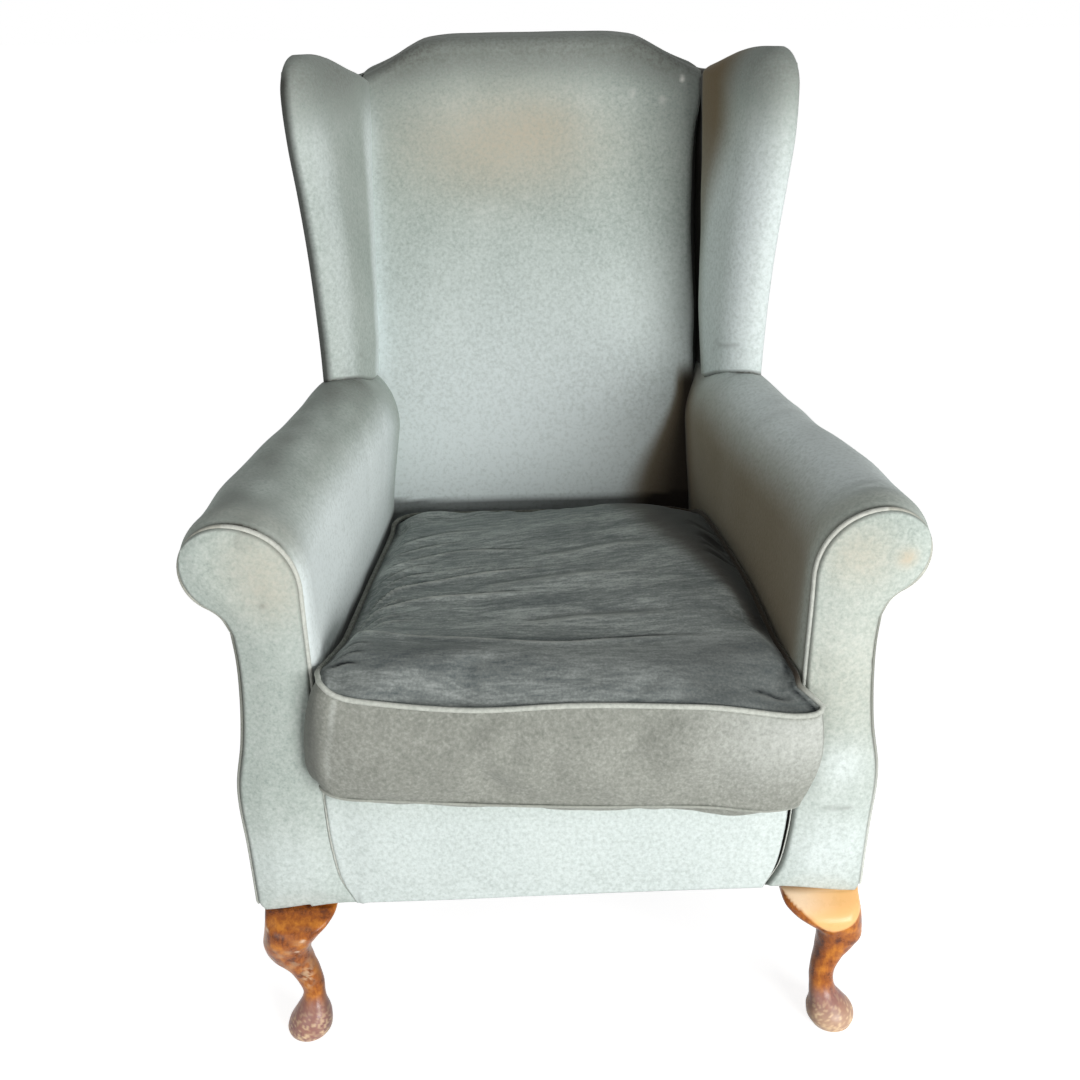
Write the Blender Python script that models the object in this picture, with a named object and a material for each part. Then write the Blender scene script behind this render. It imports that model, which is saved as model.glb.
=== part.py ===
# Worn wing armchair on short cabriole legs, with scroll arms and a loose boxed seat cushion.
# Metres, +Z up. The chair faces -Y. Lengths along Y are measured back from the plane of the arm
# facings, and one empty carries every piece so that the whole chair is centred over the origin.

import math

import bmesh
import bpy
from mathutils import Vector

# Driving dimensions
DEPTH_SHIFT = -0.390  # from the arm facings to the middle of the chair's depth

RAIL_BOTTOM = 0.172  # underside of the seat frame, top of the legs
TIMBER_BOTTOM = 0.185  # underside of the rails inside the covers
RAIL_TOP = 0.300  # top of the seat rails
DECK_TOP = 0.324  # cloth deck that the cushion rests on
CUSHION_HEIGHT = 0.120
CUSHION_OVERHANG = 0.045  # how far the cushion stands out past the facings
CUSHION_TILT = 0.060  # the cushion has slumped down towards the right
SEAT_SAG = 0.012  # dip in the middle of springs, deck and cushion

SEAT_HALF = 0.258  # half the gap between the arms, at the facings
SEAT_TAPER = 0.095  # how fast that gap narrows going back
SIDE_HALF = 0.336  # half the width over the sides, at the facings
SIDE_TAPER = 0.116

BACK_START = 0.545  # front surface of the back, at the height of the cushion top
BACK_START_Z = 0.430
BACK_RAKE = 0.303
BACK_PAD = 0.055  # thickness of the back pad, along Y
TIMBER_FRONT = 0.0595  # front of the back posts, behind the pad's surface
TIMBER_BACK = 0.0895
BACK_PANEL = 0.0915  # inner side of the outside back
CLOTH = 0.004  # outside covers, hessian and card together

SCROLL_X = 0.331  # middle of the scroll on the facing
SCROLL_Z = 0.589
SCROLL_RADIUS = 0.050
ROLL_Z = 0.560  # middle of the flatter inner side of the roll
ROLL_WIDTH = 0.0695
ROLL_HEIGHT = 0.079
ARM_PAD = 0.018
PIPING = 0.003
PIPING_GAP = 0.0005
FACING_FRONT = -0.002
FACING_BACK = 0.012
STUMP_FRONT = 0.0135
STUMP_BACK = 0.040
JOINT_GAP = 0.0015  # glue line where a timber butts against the stump

WING_THICK = 0.041
WING_ROOT_X = 0.2222  # crease between wing and back
WING_ROOT = 0.8  # share of the wing's depth at which that crease lies
WING_BACK_X = 0.2595
WING_FRONT_Y = 0.450
WING_FRONT_X = (0.281, 0.306)  # outer face at the front edge, at the foot and at the top
WING_FOOT_Z = 0.645
WING_HEIGHT = 0.360
WING_GAP = 0.006  # between the wing's foot and the arm's cover

CREST_TOP = 1.041
GLIDE = 0.003

FINISHES = {
    "velour": ((0.40, 0.45, 0.43), 0.9, 0.0),
    "deck_cloth": ((0.36, 0.38, 0.35), 0.95, 0.0),
    "dust_cloth": ((0.03, 0.03, 0.03), 0.95, 0.0),
    "jute_webbing": ((0.45, 0.36, 0.22), 0.95, 0.0),
    "raw_beech": ((0.62, 0.45, 0.28), 0.6, 0.0),
    "stained_beech": ((0.30, 0.11, 0.03), 0.3, 0.0),
    "spring_steel": ((0.35, 0.35, 0.36), 0.4, 1.0),
    "glide_steel": ((0.55, 0.54, 0.52), 0.35, 1.0),
}


def mix(low, high, share):
    return low + (high - low) * share


def along(table, value):
    """Straight-line reading of a short list of (value, result) pairs."""
    if value <= table[0][0]:
        return table[0][1]
    for (v0, r0), (v1, r1) in zip(table, table[1:]):
        if value <= v1:
            return mix(r0, r1, (value - v0) / (v1 - v0))
    return table[-1][1]


# Shape rules shared by frame and covers


def inner_x(y):
    return SEAT_HALF - SEAT_TAPER * y


def outer_x(y):
    return SIDE_HALF - SIDE_TAPER * y


def back_y(z):
    """Front surface of the back; it leans only above the seat rails."""
    return BACK_START + BACK_RAKE * (max(z, RAIL_TOP) - BACK_START_Z)


def crest_z(x):
    """Top edge of the back: flat, then shoulders falling to the wings."""
    return along([(0.0, CREST_TOP), (0.130, CREST_TOP - 0.001), (0.152, 1.034), (0.200, 1.008),
                  (0.236, 0.991), (0.254, 0.989)], abs(x))


def seat_sag(x, y):
    across = max(0.0, 1.0 - (x / 0.22) ** 2)
    down = math.sin(math.pi * min(max((y - 0.045) / 0.48, 0.0), 1.0))
    return SEAT_SAG * across * down


def arc(centre, radius_x, radius_z, start, end, steps):
    points = []
    for step in range(steps + 1):
        angle = math.radians(mix(start, end, step / steps))
        points.append((centre[0] + radius_x * math.cos(angle), centre[1] + radius_z * math.sin(angle)))
    return points


def outline_outer():
    """Outer edge of a facing from its foot up to the hollow under the scroll."""
    return [(0.338, RAIL_BOTTOM), (0.3415, 0.250), (0.345, 0.335), (0.3365, 0.385), (0.332, 0.440),
            (0.332, 0.490), (0.3345, 0.518)]


def outline_roll():
    """Over the scroll, and down its inner side."""
    scroll = arc((SCROLL_X, SCROLL_Z), SCROLL_RADIUS, SCROLL_RADIUS, -62, 88, 11)
    inner = arc((SCROLL_X, ROLL_Z), ROLL_WIDTH, ROLL_HEIGHT, 90, 180, 7)
    return [(0.343, 0.535)] + scroll + inner


def outline_inner():
    """Inner edge below the roll; it turns in at the foot, over the end of the front rail."""
    return [(0.2600, 0.500), (0.2585, 0.440), (0.2570, 0.360), (0.2555, 0.306), (0.2515, 0.250),
            (0.2430, 0.205), (0.2280, RAIL_BOTTOM)]


def facing_outline():
    return outline_outer() + outline_roll() + outline_inner()


def inset(outline, distances):
    """Moves each corner of a closed anticlockwise outline inwards by its own distance."""
    moved = []
    count = len(outline)
    for index, point in enumerate(outline):
        here = Vector(point)
        before = (here - Vector(outline[index - 1])).normalized()
        after = (Vector(outline[(index + 1) % count]) - here).normalized()
        normal = Vector((-before.y, before.x))
        mitre = (normal + Vector((-after.y, after.x))).normalized()
        moved.append(tuple(here + mitre * (distances[index] / mitre.dot(normal))))
    return moved


def arm_x(x, y):
    """Carries a point of the facing's outline back along the tapering arm."""
    share = (x - SEAT_HALF) / (SIDE_HALF - SEAT_HALF)
    return mix(inner_x(y), outer_x(y), share)


def arm_top_z(x, y):
    """Height of the arm's surface under a point."""
    share = (x - inner_x(y)) / (outer_x(y) - inner_x(y))
    across = mix(SEAT_HALF, SIDE_HALF, share) - SCROLL_X
    if across > 0:
        return SCROLL_Z + math.sqrt(max(SCROLL_RADIUS ** 2 - across ** 2, 0.0))
    return ROLL_Z + ROLL_HEIGHT * math.sqrt(max(1.0 - (across / ROLL_WIDTH) ** 2, 0.0))


def wing_point(s, d, z):
    """s runs from the front edge to the back posts, d from the inner face to the outer face."""
    height = (z - WING_FOOT_Z) / WING_HEIGHT
    front_x = mix(*WING_FRONT_X, min(max(height, 0.0), 1.0))
    front_y = WING_FRONT_Y + 0.02 * height * height
    root_y = back_y(z)
    rear_y = root_y + BACK_PAD - 0.001
    if s < WING_ROOT:
        share = s / WING_ROOT
        inner = Vector((mix(front_x - WING_THICK, WING_ROOT_X, share), mix(front_y, root_y, share)))
    else:
        inner = Vector((WING_ROOT_X, mix(root_y, rear_y, (s - WING_ROOT) / (1 - WING_ROOT))))
    outer = Vector((mix(front_x, WING_BACK_X, s), mix(front_y, rear_y, s)))
    spot = inner.lerp(outer, d)
    return (spot.x, spot.y, z)


def wing_top_z(s, d):
    edge = along([(0.0, 1.012), (0.08, 1.030), (0.18, 1.037), (0.35, 1.032), (0.8, 0.998), (1.0, 0.990)], s)
    return edge - 0.028 * max(0.0, (d - 0.3) / 0.7) ** 2 * (1.0 - min(s, 1.0))


def wing_foot_z(s, d):
    x, y, _ = wing_point(s, d, WING_FOOT_Z)
    return arm_top_z(x, y) + WING_GAP


# Makers


def clear_scene():
    for old in list(bpy.data.objects):
        bpy.data.objects.remove(old, do_unlink=True)


def finish(name):
    made = bpy.data.materials.get(name)
    if made:
        return made
    colour, roughness, metallic = FINISHES[name]
    made = bpy.data.materials.new(name)
    made.use_nodes = True
    shader = made.node_tree.nodes["Principled BSDF"]
    shader.inputs["Base Color"].default_value = (*colour, 1.0)
    shader.inputs["Roughness"].default_value = roughness
    shader.inputs["Metallic"].default_value = metallic
    return made


def place(piece, finish_name, chair):
    bpy.context.scene.collection.objects.link(piece)
    piece.data.materials.append(finish(finish_name))
    piece.parent = chair
    return piece


def from_bmesh(name, bm, finish_name, chair, smooth=None):
    bmesh.ops.recalc_face_normals(bm, faces=bm.faces)
    mesh = bpy.data.meshes.new(name)
    bm.to_mesh(mesh)
    bm.free()
    if smooth is not None:
        mesh.shade_smooth()
        mesh.set_sharp_from_angle(angle=math.radians(smooth))
    return place(bpy.data.objects.new(name, mesh), finish_name, chair)


def lofted(name, rings, finish_name, chair, smooth=None):
    """A solid through closed rings of points, flat at both ends."""
    bm = bmesh.new()
    rows = [[bm.verts.new(point) for point in ring] for ring in rings]
    count = len(rings[0])
    for low, high in zip(rows, rows[1:]):
        for step in range(count):
            after = (step + 1) % count
            bm.faces.new((low[step], low[after], high[after], high[step]))
    bm.faces.new(rows[0])
    bm.faces.new(rows[-1])
    return from_bmesh(name, bm, finish_name, chair, smooth)


def shell(name, near_rows, far_rows, finish_name, chair, smooth=40):
    """A solid between two grids of points of the same size, closed round the rim."""
    bm = bmesh.new()
    near = [[bm.verts.new(point) for point in row] for row in near_rows]
    far = [[bm.verts.new(point) for point in row] for row in far_rows]
    for grid in (near, far):
        for low, high in zip(grid, grid[1:]):
            for step in range(len(low) - 1):
                bm.faces.new((low[step], low[step + 1], high[step + 1], high[step]))
    rim_near = near[0] + [row[-1] for row in near[1:]] + near[-1][-2::-1] + [row[0] for row in near[-2:0:-1]]
    rim_far = far[0] + [row[-1] for row in far[1:]] + far[-1][-2::-1] + [row[0] for row in far[-2:0:-1]]
    count = len(rim_near)
    for step in range(count):
        after = (step + 1) % count
        bm.faces.new((rim_near[step], rim_near[after], rim_far[after], rim_far[step]))
    return from_bmesh(name, bm, finish_name, chair, smooth)


def panel(name, rows, thickness, finish_name, chair):
    """A sheet through rows of points, given its thickness on the side away from the room."""
    bm = bmesh.new()
    grid = [[bm.verts.new(point) for point in row] for row in rows]
    for low, high in zip(grid, grid[1:]):
        for step in range(len(low) - 1):
            bm.faces.new((low[step], low[step + 1], high[step + 1], high[step]))
    mesh = bpy.data.meshes.new(name)
    bm.to_mesh(mesh)
    bm.free()
    mesh.shade_smooth()
    piece = place(bpy.data.objects.new(name, mesh), finish_name, chair)
    solid = piece.modifiers.new("thickness", "SOLIDIFY")
    solid.thickness = thickness
    solid.offset = -1.0
    solid.use_even_offset = True
    return piece


def ease(piece, width=0.0015):
    """Takes the sharp arris off a timber."""
    bevel = piece.modifiers.new("arris", "BEVEL")
    bevel.width = width
    bevel.segments = 1
    bevel.limit_method = "ANGLE"
    return piece


def timber(name, rings, finish_name, chair):
    return ease(lofted(name, rings, finish_name, chair))


def box_ring(x0, x1, y0, y1, z):
    return [(x0, y0, z), (x1, y0, z), (x1, y1, z), (x0, y1, z)]


def upright_ring(x0, x1, y, z0, z1):
    return [(x0, y, z0), (x1, y, z0), (x1, y, z1), (x0, y, z1)]


def flip(points):
    return [(-x, y, z) for x, y, z in points]


def both(build, chair):
    """Builds a piece for the right side and its mirror image for the left."""
    for side, turn in (("right", lambda points: points), ("left", flip)):
        build(side, turn, chair)


def tube(name, points, radius, roundness, finish_name, chair):
    curve = bpy.data.curves.new(name, "CURVE")
    curve.dimensions = "3D"
    curve.bevel_depth = radius
    curve.bevel_resolution = roundness
    curve.use_fill_caps = True
    spline = curve.splines.new("POLY")
    spline.points.add(len(points) - 1)
    for slot, point in zip(spline.points, points):
        slot.co = (*point, 1.0)
    return place(bpy.data.objects.new(name, curve), finish_name, chair)


def cut(piece, cutter, chair):
    cutter.hide_render = True
    cutter.display_type = "WIRE"
    cutter.parent = chair
    boolean = piece.modifiers.new("cut", "BOOLEAN")
    boolean.operation = "DIFFERENCE"
    boolean.object = cutter


def cylinder(name, radius, bottom, top, x, y, segments=16):
    bm = bmesh.new()
    bmesh.ops.create_cone(bm, cap_ends=True, segments=segments, radius1=radius, radius2=radius,
                          depth=top - bottom)
    bmesh.ops.translate(bm, verts=bm.verts, vec=(x, y, (top + bottom) / 2))
    mesh = bpy.data.meshes.new(name)
    bm.to_mesh(mesh)
    bm.free()
    return bpy.data.objects.new(name, mesh)


# Legs

# height, middle across, half width, middle along, half depth, squareness;
# the right leg has worked loose and leans outwards
LEG_STATIONS = {
    "left": (
        (0.1715, 0.2945, 0.0415, 0.0305, 0.0335, 6.0),
        (0.1655, 0.2955, 0.0405, 0.0240, 0.0370, 5.5),
        (0.1590, 0.2978, 0.0382, 0.0200, 0.0420, 4.5),
        (0.1490, 0.3025, 0.0348, 0.0138, 0.0423, 3.2),
        (0.1400, 0.3072, 0.0312, 0.0065, 0.0355, 2.8),
        (0.1300, 0.3118, 0.0280, 0.0005, 0.0265, 2.5),
        (0.1180, 0.3125, 0.0258, 0.0000, 0.0215, 2.3),
        (0.1035, 0.3085, 0.0236, 0.0020, 0.0190, 2.2),
        (0.0870, 0.2984, 0.0183, 0.0030, 0.0160, 2.1),
        (0.0708, 0.2913, 0.0150, 0.0020, 0.0140, 2.0),
        (0.0545, 0.2878, 0.0128, 0.0000, 0.0128, 2.0),
        (0.0450, 0.2885, 0.0145, -0.0015, 0.0148, 2.0),
        (0.0347, 0.2900, 0.0196, -0.0035, 0.0200, 2.0),
        (0.0260, 0.2920, 0.0232, -0.0045, 0.0235, 2.0),
        (0.0170, 0.2941, 0.0252, -0.0050, 0.0250, 2.0),
        (0.0080, 0.2960, 0.0248, -0.0055, 0.0245, 2.0),
        (0.0033, 0.2970, 0.0222, -0.0060, 0.0220, 2.0),
    ),
    "right": (
        (0.1715, 0.2945, 0.0440, 0.0305, 0.0335, 6.0),
        (0.1612, 0.2952, 0.0439, 0.0210, 0.0410, 5.0),
        (0.1506, 0.3004, 0.0405, 0.0135, 0.0425, 3.6),
        (0.1375, 0.3097, 0.0329, 0.0050, 0.0350, 2.8),
        (0.1285, 0.3167, 0.0262, -0.0005, 0.0270, 2.5),
        (0.1164, 0.3173, 0.0255, -0.0030, 0.0225, 2.4),
        (0.1048, 0.3137, 0.0226, -0.0040, 0.0195, 2.2),
        (0.0910, 0.3072, 0.0180, -0.0060, 0.0165, 2.1),
        (0.0754, 0.3013, 0.0152, -0.0080, 0.0145, 2.0),
        (0.0598, 0.2993, 0.0140, -0.0100, 0.0138, 2.0),
        (0.0442, 0.3014, 0.0158, -0.0130, 0.0155, 2.0),
        (0.0333, 0.3060, 0.0208, -0.0160, 0.0205, 2.0),
        (0.0232, 0.3089, 0.0264, -0.0180, 0.0255, 2.0),
        (0.0120, 0.3110, 0.0265, -0.0200, 0.0260, 2.0),
        (0.0033, 0.3125, 0.0225, -0.0205, 0.0222, 2.0),
    ),
}
LEG_POINTS = 24
BOLT_X = 0.280
BOLT_Y = 0.050
BOLT_RADIUS = 0.004
BOLT_BOTTOM = 0.155
BOLT_TOP = 0.222
BOLT_ROOM = 0.0005  # all round the bolt in its bores
LEG_BORE_TOP = 0.200
FRONT_GLIDE_RADIUS = 0.012
REAR_GLIDE_RADIUS = 0.009
REAR_FOOT_Y = 0.700
REAR_FOOT_X = 0.244


def leg_ring(station):
    z, x, half_x, y, half_y, square = station
    ring = []
    for step in range(LEG_POINTS):
        angle = 2 * math.pi * step / LEG_POINTS
        c, s = math.cos(angle), math.sin(angle)
        ring.append((x + math.copysign(half_x * abs(c) ** (2 / square), c),
                     y + math.copysign(half_y * abs(s) ** (2 / square), s), z))
    return ring


def front_leg(side, turn, chair):
    rings = [turn(leg_ring(station)) for station in LEG_STATIONS[side]]
    leg = lofted("front_leg_" + side, rings, "stained_beech", chair, smooth=50)
    x = turn([(BOLT_X, 0, 0)])[0][0]
    bore = cylinder("leg_bore_" + side, BOLT_RADIUS + BOLT_ROOM, BOLT_BOTTOM - BOLT_ROOM, LEG_BORE_TOP,
                    x, BOLT_Y)
    bpy.context.scene.collection.objects.link(bore)
    cut(leg, bore, chair)


def leg_bolt(side, turn, chair):
    x = turn([(BOLT_X, 0, 0)])[0][0]
    bolt = cylinder("leg_bolt_" + side, BOLT_RADIUS, BOLT_BOTTOM, BOLT_TOP, x, BOLT_Y)
    place(bolt, "spring_steel", chair)


def glide(name, radius, x, y, chair):
    pad = cylinder(name, radius, 0.0, GLIDE, x, y, segments=20)
    place(pad, "glide_steel", chair)


def glides(side, turn, chair):
    foot = LEG_STATIONS[side][-1]
    foot_x, foot_y = foot[1], foot[3]
    glide("front_glide_" + side, FRONT_GLIDE_RADIUS, turn([(foot_x, 0, 0)])[0][0], foot_y, chair)
    glide("rear_glide_" + side, REAR_GLIDE_RADIUS, turn([(REAR_FOOT_X, 0, 0)])[0][0], REAR_FOOT_Y, chair)


# Seat frame


FRONT_RAIL_HALF = 0.273
FRONT_RAIL_FRONT = 0.0155
REAR_RAIL_HALF = 0.2315
REAR_RAIL_FRONT = 0.5665
REAR_RAIL_BACK = 0.5940
SIDE_RAIL_IN = 0.031  # its two faces, measured in from the side of the chair
SIDE_RAIL_OUT = 0.006
SIDE_RAIL_END = 0.5635


def cross_rail(name, half, front, back, chair):
    rings = [upright_ring(-half, half, y, TIMBER_BOTTOM, RAIL_TOP) for y in (front, back)]
    timber(name, rings, "raw_beech", chair)


def front_rail(chair):
    cross_rail("front_rail", FRONT_RAIL_HALF, FRONT_RAIL_FRONT, STUMP_BACK, chair)


def rear_rail(chair):
    cross_rail("rear_rail", REAR_RAIL_HALF, REAR_RAIL_FRONT, REAR_RAIL_BACK, chair)


def side_rail(side, turn, chair):
    rings = []
    for y in (STUMP_BACK + JOINT_GAP, SIDE_RAIL_END):
        x = outer_x(y)
        rings.append(turn(upright_ring(x - SIDE_RAIL_IN, x - SIDE_RAIL_OUT, y, TIMBER_BOTTOM, RAIL_TOP)))
    timber("side_rail_" + side, rings, "raw_beech", chair)


BLOCK_BOTTOM = 0.190
BLOCK_TOP = 0.230
BORE_PAST = 0.010  # how far the bolt's bore runs past the block at both ends


def corner_block(name, corners, turn, chair, bolt_x=None):
    rings = [turn([(x, y, z) for x, y in corners]) for z in (BLOCK_BOTTOM, BLOCK_TOP)]
    block = timber(name, rings, "raw_beech", chair)
    if bolt_x is not None:
        bore = cylinder(name + "_bore", BOLT_RADIUS + BOLT_ROOM, BLOCK_BOTTOM - BORE_PAST,
                        BLOCK_TOP + BORE_PAST, bolt_x, BOLT_Y)
        bpy.context.scene.collection.objects.link(bore)
        cut(block, bore, chair)


def corner_blocks(side, turn, chair):
    front_y = STUMP_BACK + 0.001
    front = [(0.215, front_y), (0.296, front_y), (0.2895, 0.115)]
    corner_block("front_corner_block_" + side, front, turn, chair, turn([(BOLT_X, 0, 0)])[0][0])
    rear = [(0.165, SIDE_RAIL_END), (0.2440, 0.490), (0.2360, SIDE_RAIL_END)]
    corner_block("rear_corner_block_" + side, rear, turn, chair)


SPRING_COUNT = 5
SPRING_GAP = 0.085
SPRING_WIRE = 0.0018
SPRING_SWING = 0.021
SPRING_BENDS = 16
SPRING_ENDS = (0.022, 0.588)  # on the front and rear rails
SPRING_ZIGZAG = (0.045, 0.555)
SPRING_LIFT = 0.0004


def seat_spring(number, chair):
    """A zigzag wire from the front rail to the rear rail, sagging with the seat."""
    x = (number - (SPRING_COUNT + 1) / 2) * SPRING_GAP
    level = RAIL_TOP + SPRING_WIRE + SPRING_LIFT
    points = [(x, SPRING_ENDS[0], level)]
    for bend in range(SPRING_BENDS):
        swing = SPRING_SWING if bend % 2 else -SPRING_SWING
        for part in (0.15, 0.85):
            y = mix(*SPRING_ZIGZAG, (bend + part) / SPRING_BENDS)
            points.append((x + swing, y, level - seat_sag(x, y)))
    points.append((x, SPRING_ENDS[1], level))
    tube("seat_spring_%d" % number, points, SPRING_WIRE, 0, "spring_steel", chair)


DECK_BOTTOM = RAIL_TOP + 0.0075
DECK_SIDE_GAP = 0.0045


def seat_platform(chair):
    """Stuffed cloth deck over the springs."""
    near = []
    far = []
    for y in (0.0150, 0.10, 0.20, 0.30, 0.40, 0.505):
        half = inner_x(y) - DECK_SIDE_GAP
        xs = [half * share for share in (-1, -0.85, -0.7, -0.4, 0, 0.4, 0.7, 0.85, 1)]
        near.append([(x, y, DECK_TOP - seat_sag(x, y)) for x in xs])
        far.append([(x, y, DECK_BOTTOM - seat_sag(x, y)) for x in xs])
    shell("seat_platform", near, far, "deck_cloth", chair)


BORDER_FRONT = -0.004
BORDER_BACK = 0.014
BORDER_SIDE_GAP = 0.0035


def front_border(chair):
    """Padded band under the cushion, cut to the turned-in feet of the facings."""
    heights = [RAIL_BOTTOM, 0.205, 0.250, 0.306, DECK_TOP - 0.001]
    edge = sorted((z, x) for x, z in outline_inner())
    near = []
    far = []
    for z in heights:
        half = along(edge, z) - BORDER_SIDE_GAP
        xs = [half * share for share in (-1, -0.5, 0, 0.5, 1)]
        near.append([(x, BORDER_FRONT, z) for x in xs])
        far.append([(x, BORDER_BACK, z) for x in xs])
    shell("front_border", near, far, "velour", chair)


DUST_BOTTOM = 0.1690
DUST_TOP = 0.1710


def dust_cover(chair):
    """Black cloth tacked under the rails, cut away round the four legs."""
    corners = [(0.235, 0.02), (0.235, 0.075), (0.310, 0.075), (0.262, 0.545), (0.215, 0.545), (0.215, 0.590)]
    ring = corners + [(-x, y) for x, y in reversed(corners)]
    rings = [[(x, y, z) for x, y in ring] for z in (DUST_BOTTOM, DUST_TOP)]
    lofted("dust_cover", rings, "dust_cloth", chair)


# Seat cushion


CUSHION_BOTTOM = DECK_TOP + 0.0015
CUSHION_FRONT = (-0.266, 0.274)  # its left and right sides, where it stands out past the facings
CUSHION_SIDE_GAP = 0.003
CUSHION_CROWN = 0.014
CUSHION_HANG = 0.012  # how much lower than the deck its right front corner hangs
CUSHION_BACK = 0.508
CUSHION_TOP_BACK = 0.536  # the top edge leans back with the chair's back
CUSHION_EDGE_RISE = 0.6  # how far a drawn-in edge rises or falls for its inset
CUSHION_STEPS = 8


def cushion_ring(y, inset_by):
    """Section of the boxed cushion across the chair, its edges drawn in at front and back."""
    in_front = y < -0.005
    if in_front:
        left, right = CUSHION_FRONT
    else:
        half = inner_x(max(y, 0.0)) - CUSHION_SIDE_GAP
        left, right = -half, half
    left, right = left + inset_by, right - inset_by
    rise = inset_by * CUSHION_EDGE_RISE
    ring = []
    for step in range(CUSHION_STEPS + 1):
        x = mix(left, right, step / CUSHION_STEPS)
        drop = CUSHION_HANG * x / 0.26 if in_front else 0.0
        ring.append((x, y, CUSHION_BOTTOM + rise - seat_sag(x, y) - drop))
    for step in range(CUSHION_STEPS + 1):
        x = mix(right, left, step / CUSHION_STEPS)
        crown = CUSHION_CROWN * (1 - (2 * (x - left) / (right - left) - 1) ** 2)
        top = DECK_TOP + CUSHION_HEIGHT + crown - CUSHION_TILT * x - seat_sag(x, y)
        ring.append((x, y, top - rise))
    return ring


def seat_cushion(chair):
    rings = [cushion_ring(-CUSHION_OVERHANG, 0.012), cushion_ring(-CUSHION_OVERHANG + 0.008, 0.003)]
    for y in (-0.0075, -0.0045, 0.03, 0.12, 0.22, 0.32, 0.42, 0.49):
        rings.append(cushion_ring(y, 0.0))
    rear = cushion_ring(CUSHION_BACK, 0.010)
    half = len(rear) // 2
    rings.append(rear[:half] + [(x, CUSHION_TOP_BACK, z) for x, y, z in rear[half:]])
    lofted("seat_cushion", rings, "velour", chair, smooth=50)


# Arms


def arm_facing(side, turn, chair):
    outline = facing_outline()
    shape = inset(outline, [2 * PIPING + PIPING_GAP] * len(outline))
    rings = [turn([(x, y, z) for x, z in shape]) for y in (FACING_FRONT, FACING_BACK)]
    lofted("arm_facing_" + side, rings, "velour", chair)


def arm_piping(side, turn, chair):
    outline = facing_outline()
    shape = inset(outline, [PIPING] * len(outline))[1:-1]
    points = turn([(x, 0.5 * FACING_BACK, z) for x, z in shape])
    tube("arm_piping_" + side, points, PIPING, 1, "velour", chair)


STUMP_INNER_X = 0.2790


def arm_stump(side, turn, chair):
    """Scroll-shaped front board of the arm, which the facing is nailed to."""
    outline = facing_outline()
    outer = len(outline_outer()) - 2
    distances = [CLOTH + 0.001] * outer + [ARM_PAD + 0.0015] * (len(outline) - outer)
    shape = []
    for x, z in inset(outline, distances):
        shape.append((max(x, STUMP_INNER_X), max(z, TIMBER_BOTTOM)))
    rings = [turn([(arm_x(x, y), y, z) for x, z in shape]) for y in (STUMP_FRONT, STUMP_BACK)]
    lofted("arm_stump_" + side, rings, "raw_beech", chair)


def roll_end_y(x, z):
    """The cover stops at the back posts, and passes outside them where it can."""
    clear = along([(0.268, BACK_PAD - 0.0105), (0.274, TIMBER_BACK - 0.004)], x)
    return back_y(z) + clear


def inside_arm(side, turn, chair):
    """Pad that starts under the scroll, goes over the roll and down to the deck."""
    outline = [(0.3345, 0.520)] + outline_roll() + [p for p in outline_inner() if p[1] > RAIL_TOP]
    rows = []
    for share in (0.0, 0.12, 0.3, 0.5, 0.7, 0.85, 1.0):
        row = []
        for x, z in outline:
            height = max(z, 0.3065)
            end = roll_end_y(arm_x(x, 0.62), height)
            y = mix(STUMP_FRONT + 0.001, end, share)
            row.append((arm_x(x, y), y, height))
        rows.append(turn(row))
    if side == "right":
        rows.reverse()
    pad = panel("inside_arm_" + side, rows, ARM_PAD, "velour", chair)
    slot = lofted("wing_slot_" + side, wing_post_rings(turn, POST_ROOM, 0.600, 0.660), "raw_beech", chair)
    cut(pad, slot, chair)


def outside_arm(side, turn, chair):
    rows = []
    for share in (0.0, 0.25, 0.5, 0.75, 1.0):
        row = []
        for x, z in outline_outer():
            y = mix(STUMP_FRONT, back_y(z) + TIMBER_BACK + 0.001, share)
            row.append((arm_x(x, y), y, z))
        rows.append(turn(row))
    if side == "right":
        rows.reverse()
    panel("outside_arm_" + side, rows, CLOTH, "velour", chair)


ARM_BOARD_END = 0.648
ARM_BOARD_HALF = (0.019, 0.014)  # half width at the stump and at the back post
ARM_BOARD_Z = (0.585, 0.607)
TACKING_X = ((0.282, 0.300), (0.2375, 0.2535))  # its two faces, at the stump and at the back post
TACKING_Z = (0.310, 0.345)


def arm_board(side, turn, chair):
    rings = []
    for y, half in zip((STUMP_BACK + JOINT_GAP, ARM_BOARD_END), ARM_BOARD_HALF):
        x = arm_x(SCROLL_X, y)
        rings.append(turn(upright_ring(x - half, x + half, y, *ARM_BOARD_Z)))
    timber("arm_board_" + side, rings, "raw_beech", chair)


def arm_tacking_rail(side, turn, chair):
    rings = []
    for y, faces in zip((STUMP_BACK + JOINT_GAP, REAR_RAIL_FRONT), TACKING_X):
        rings.append(turn(upright_ring(*faces, y, *TACKING_Z)))
    timber("arm_tacking_rail_" + side, rings, "raw_beech", chair)


# Back


POST_HALF = (0.0120, 0.0150)
POST_MIDDLE = (TIMBER_FRONT + TIMBER_BACK) / 2
POST_TOP = 0.9285
CREST_RAIL_BOTTOM = 0.930


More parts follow.
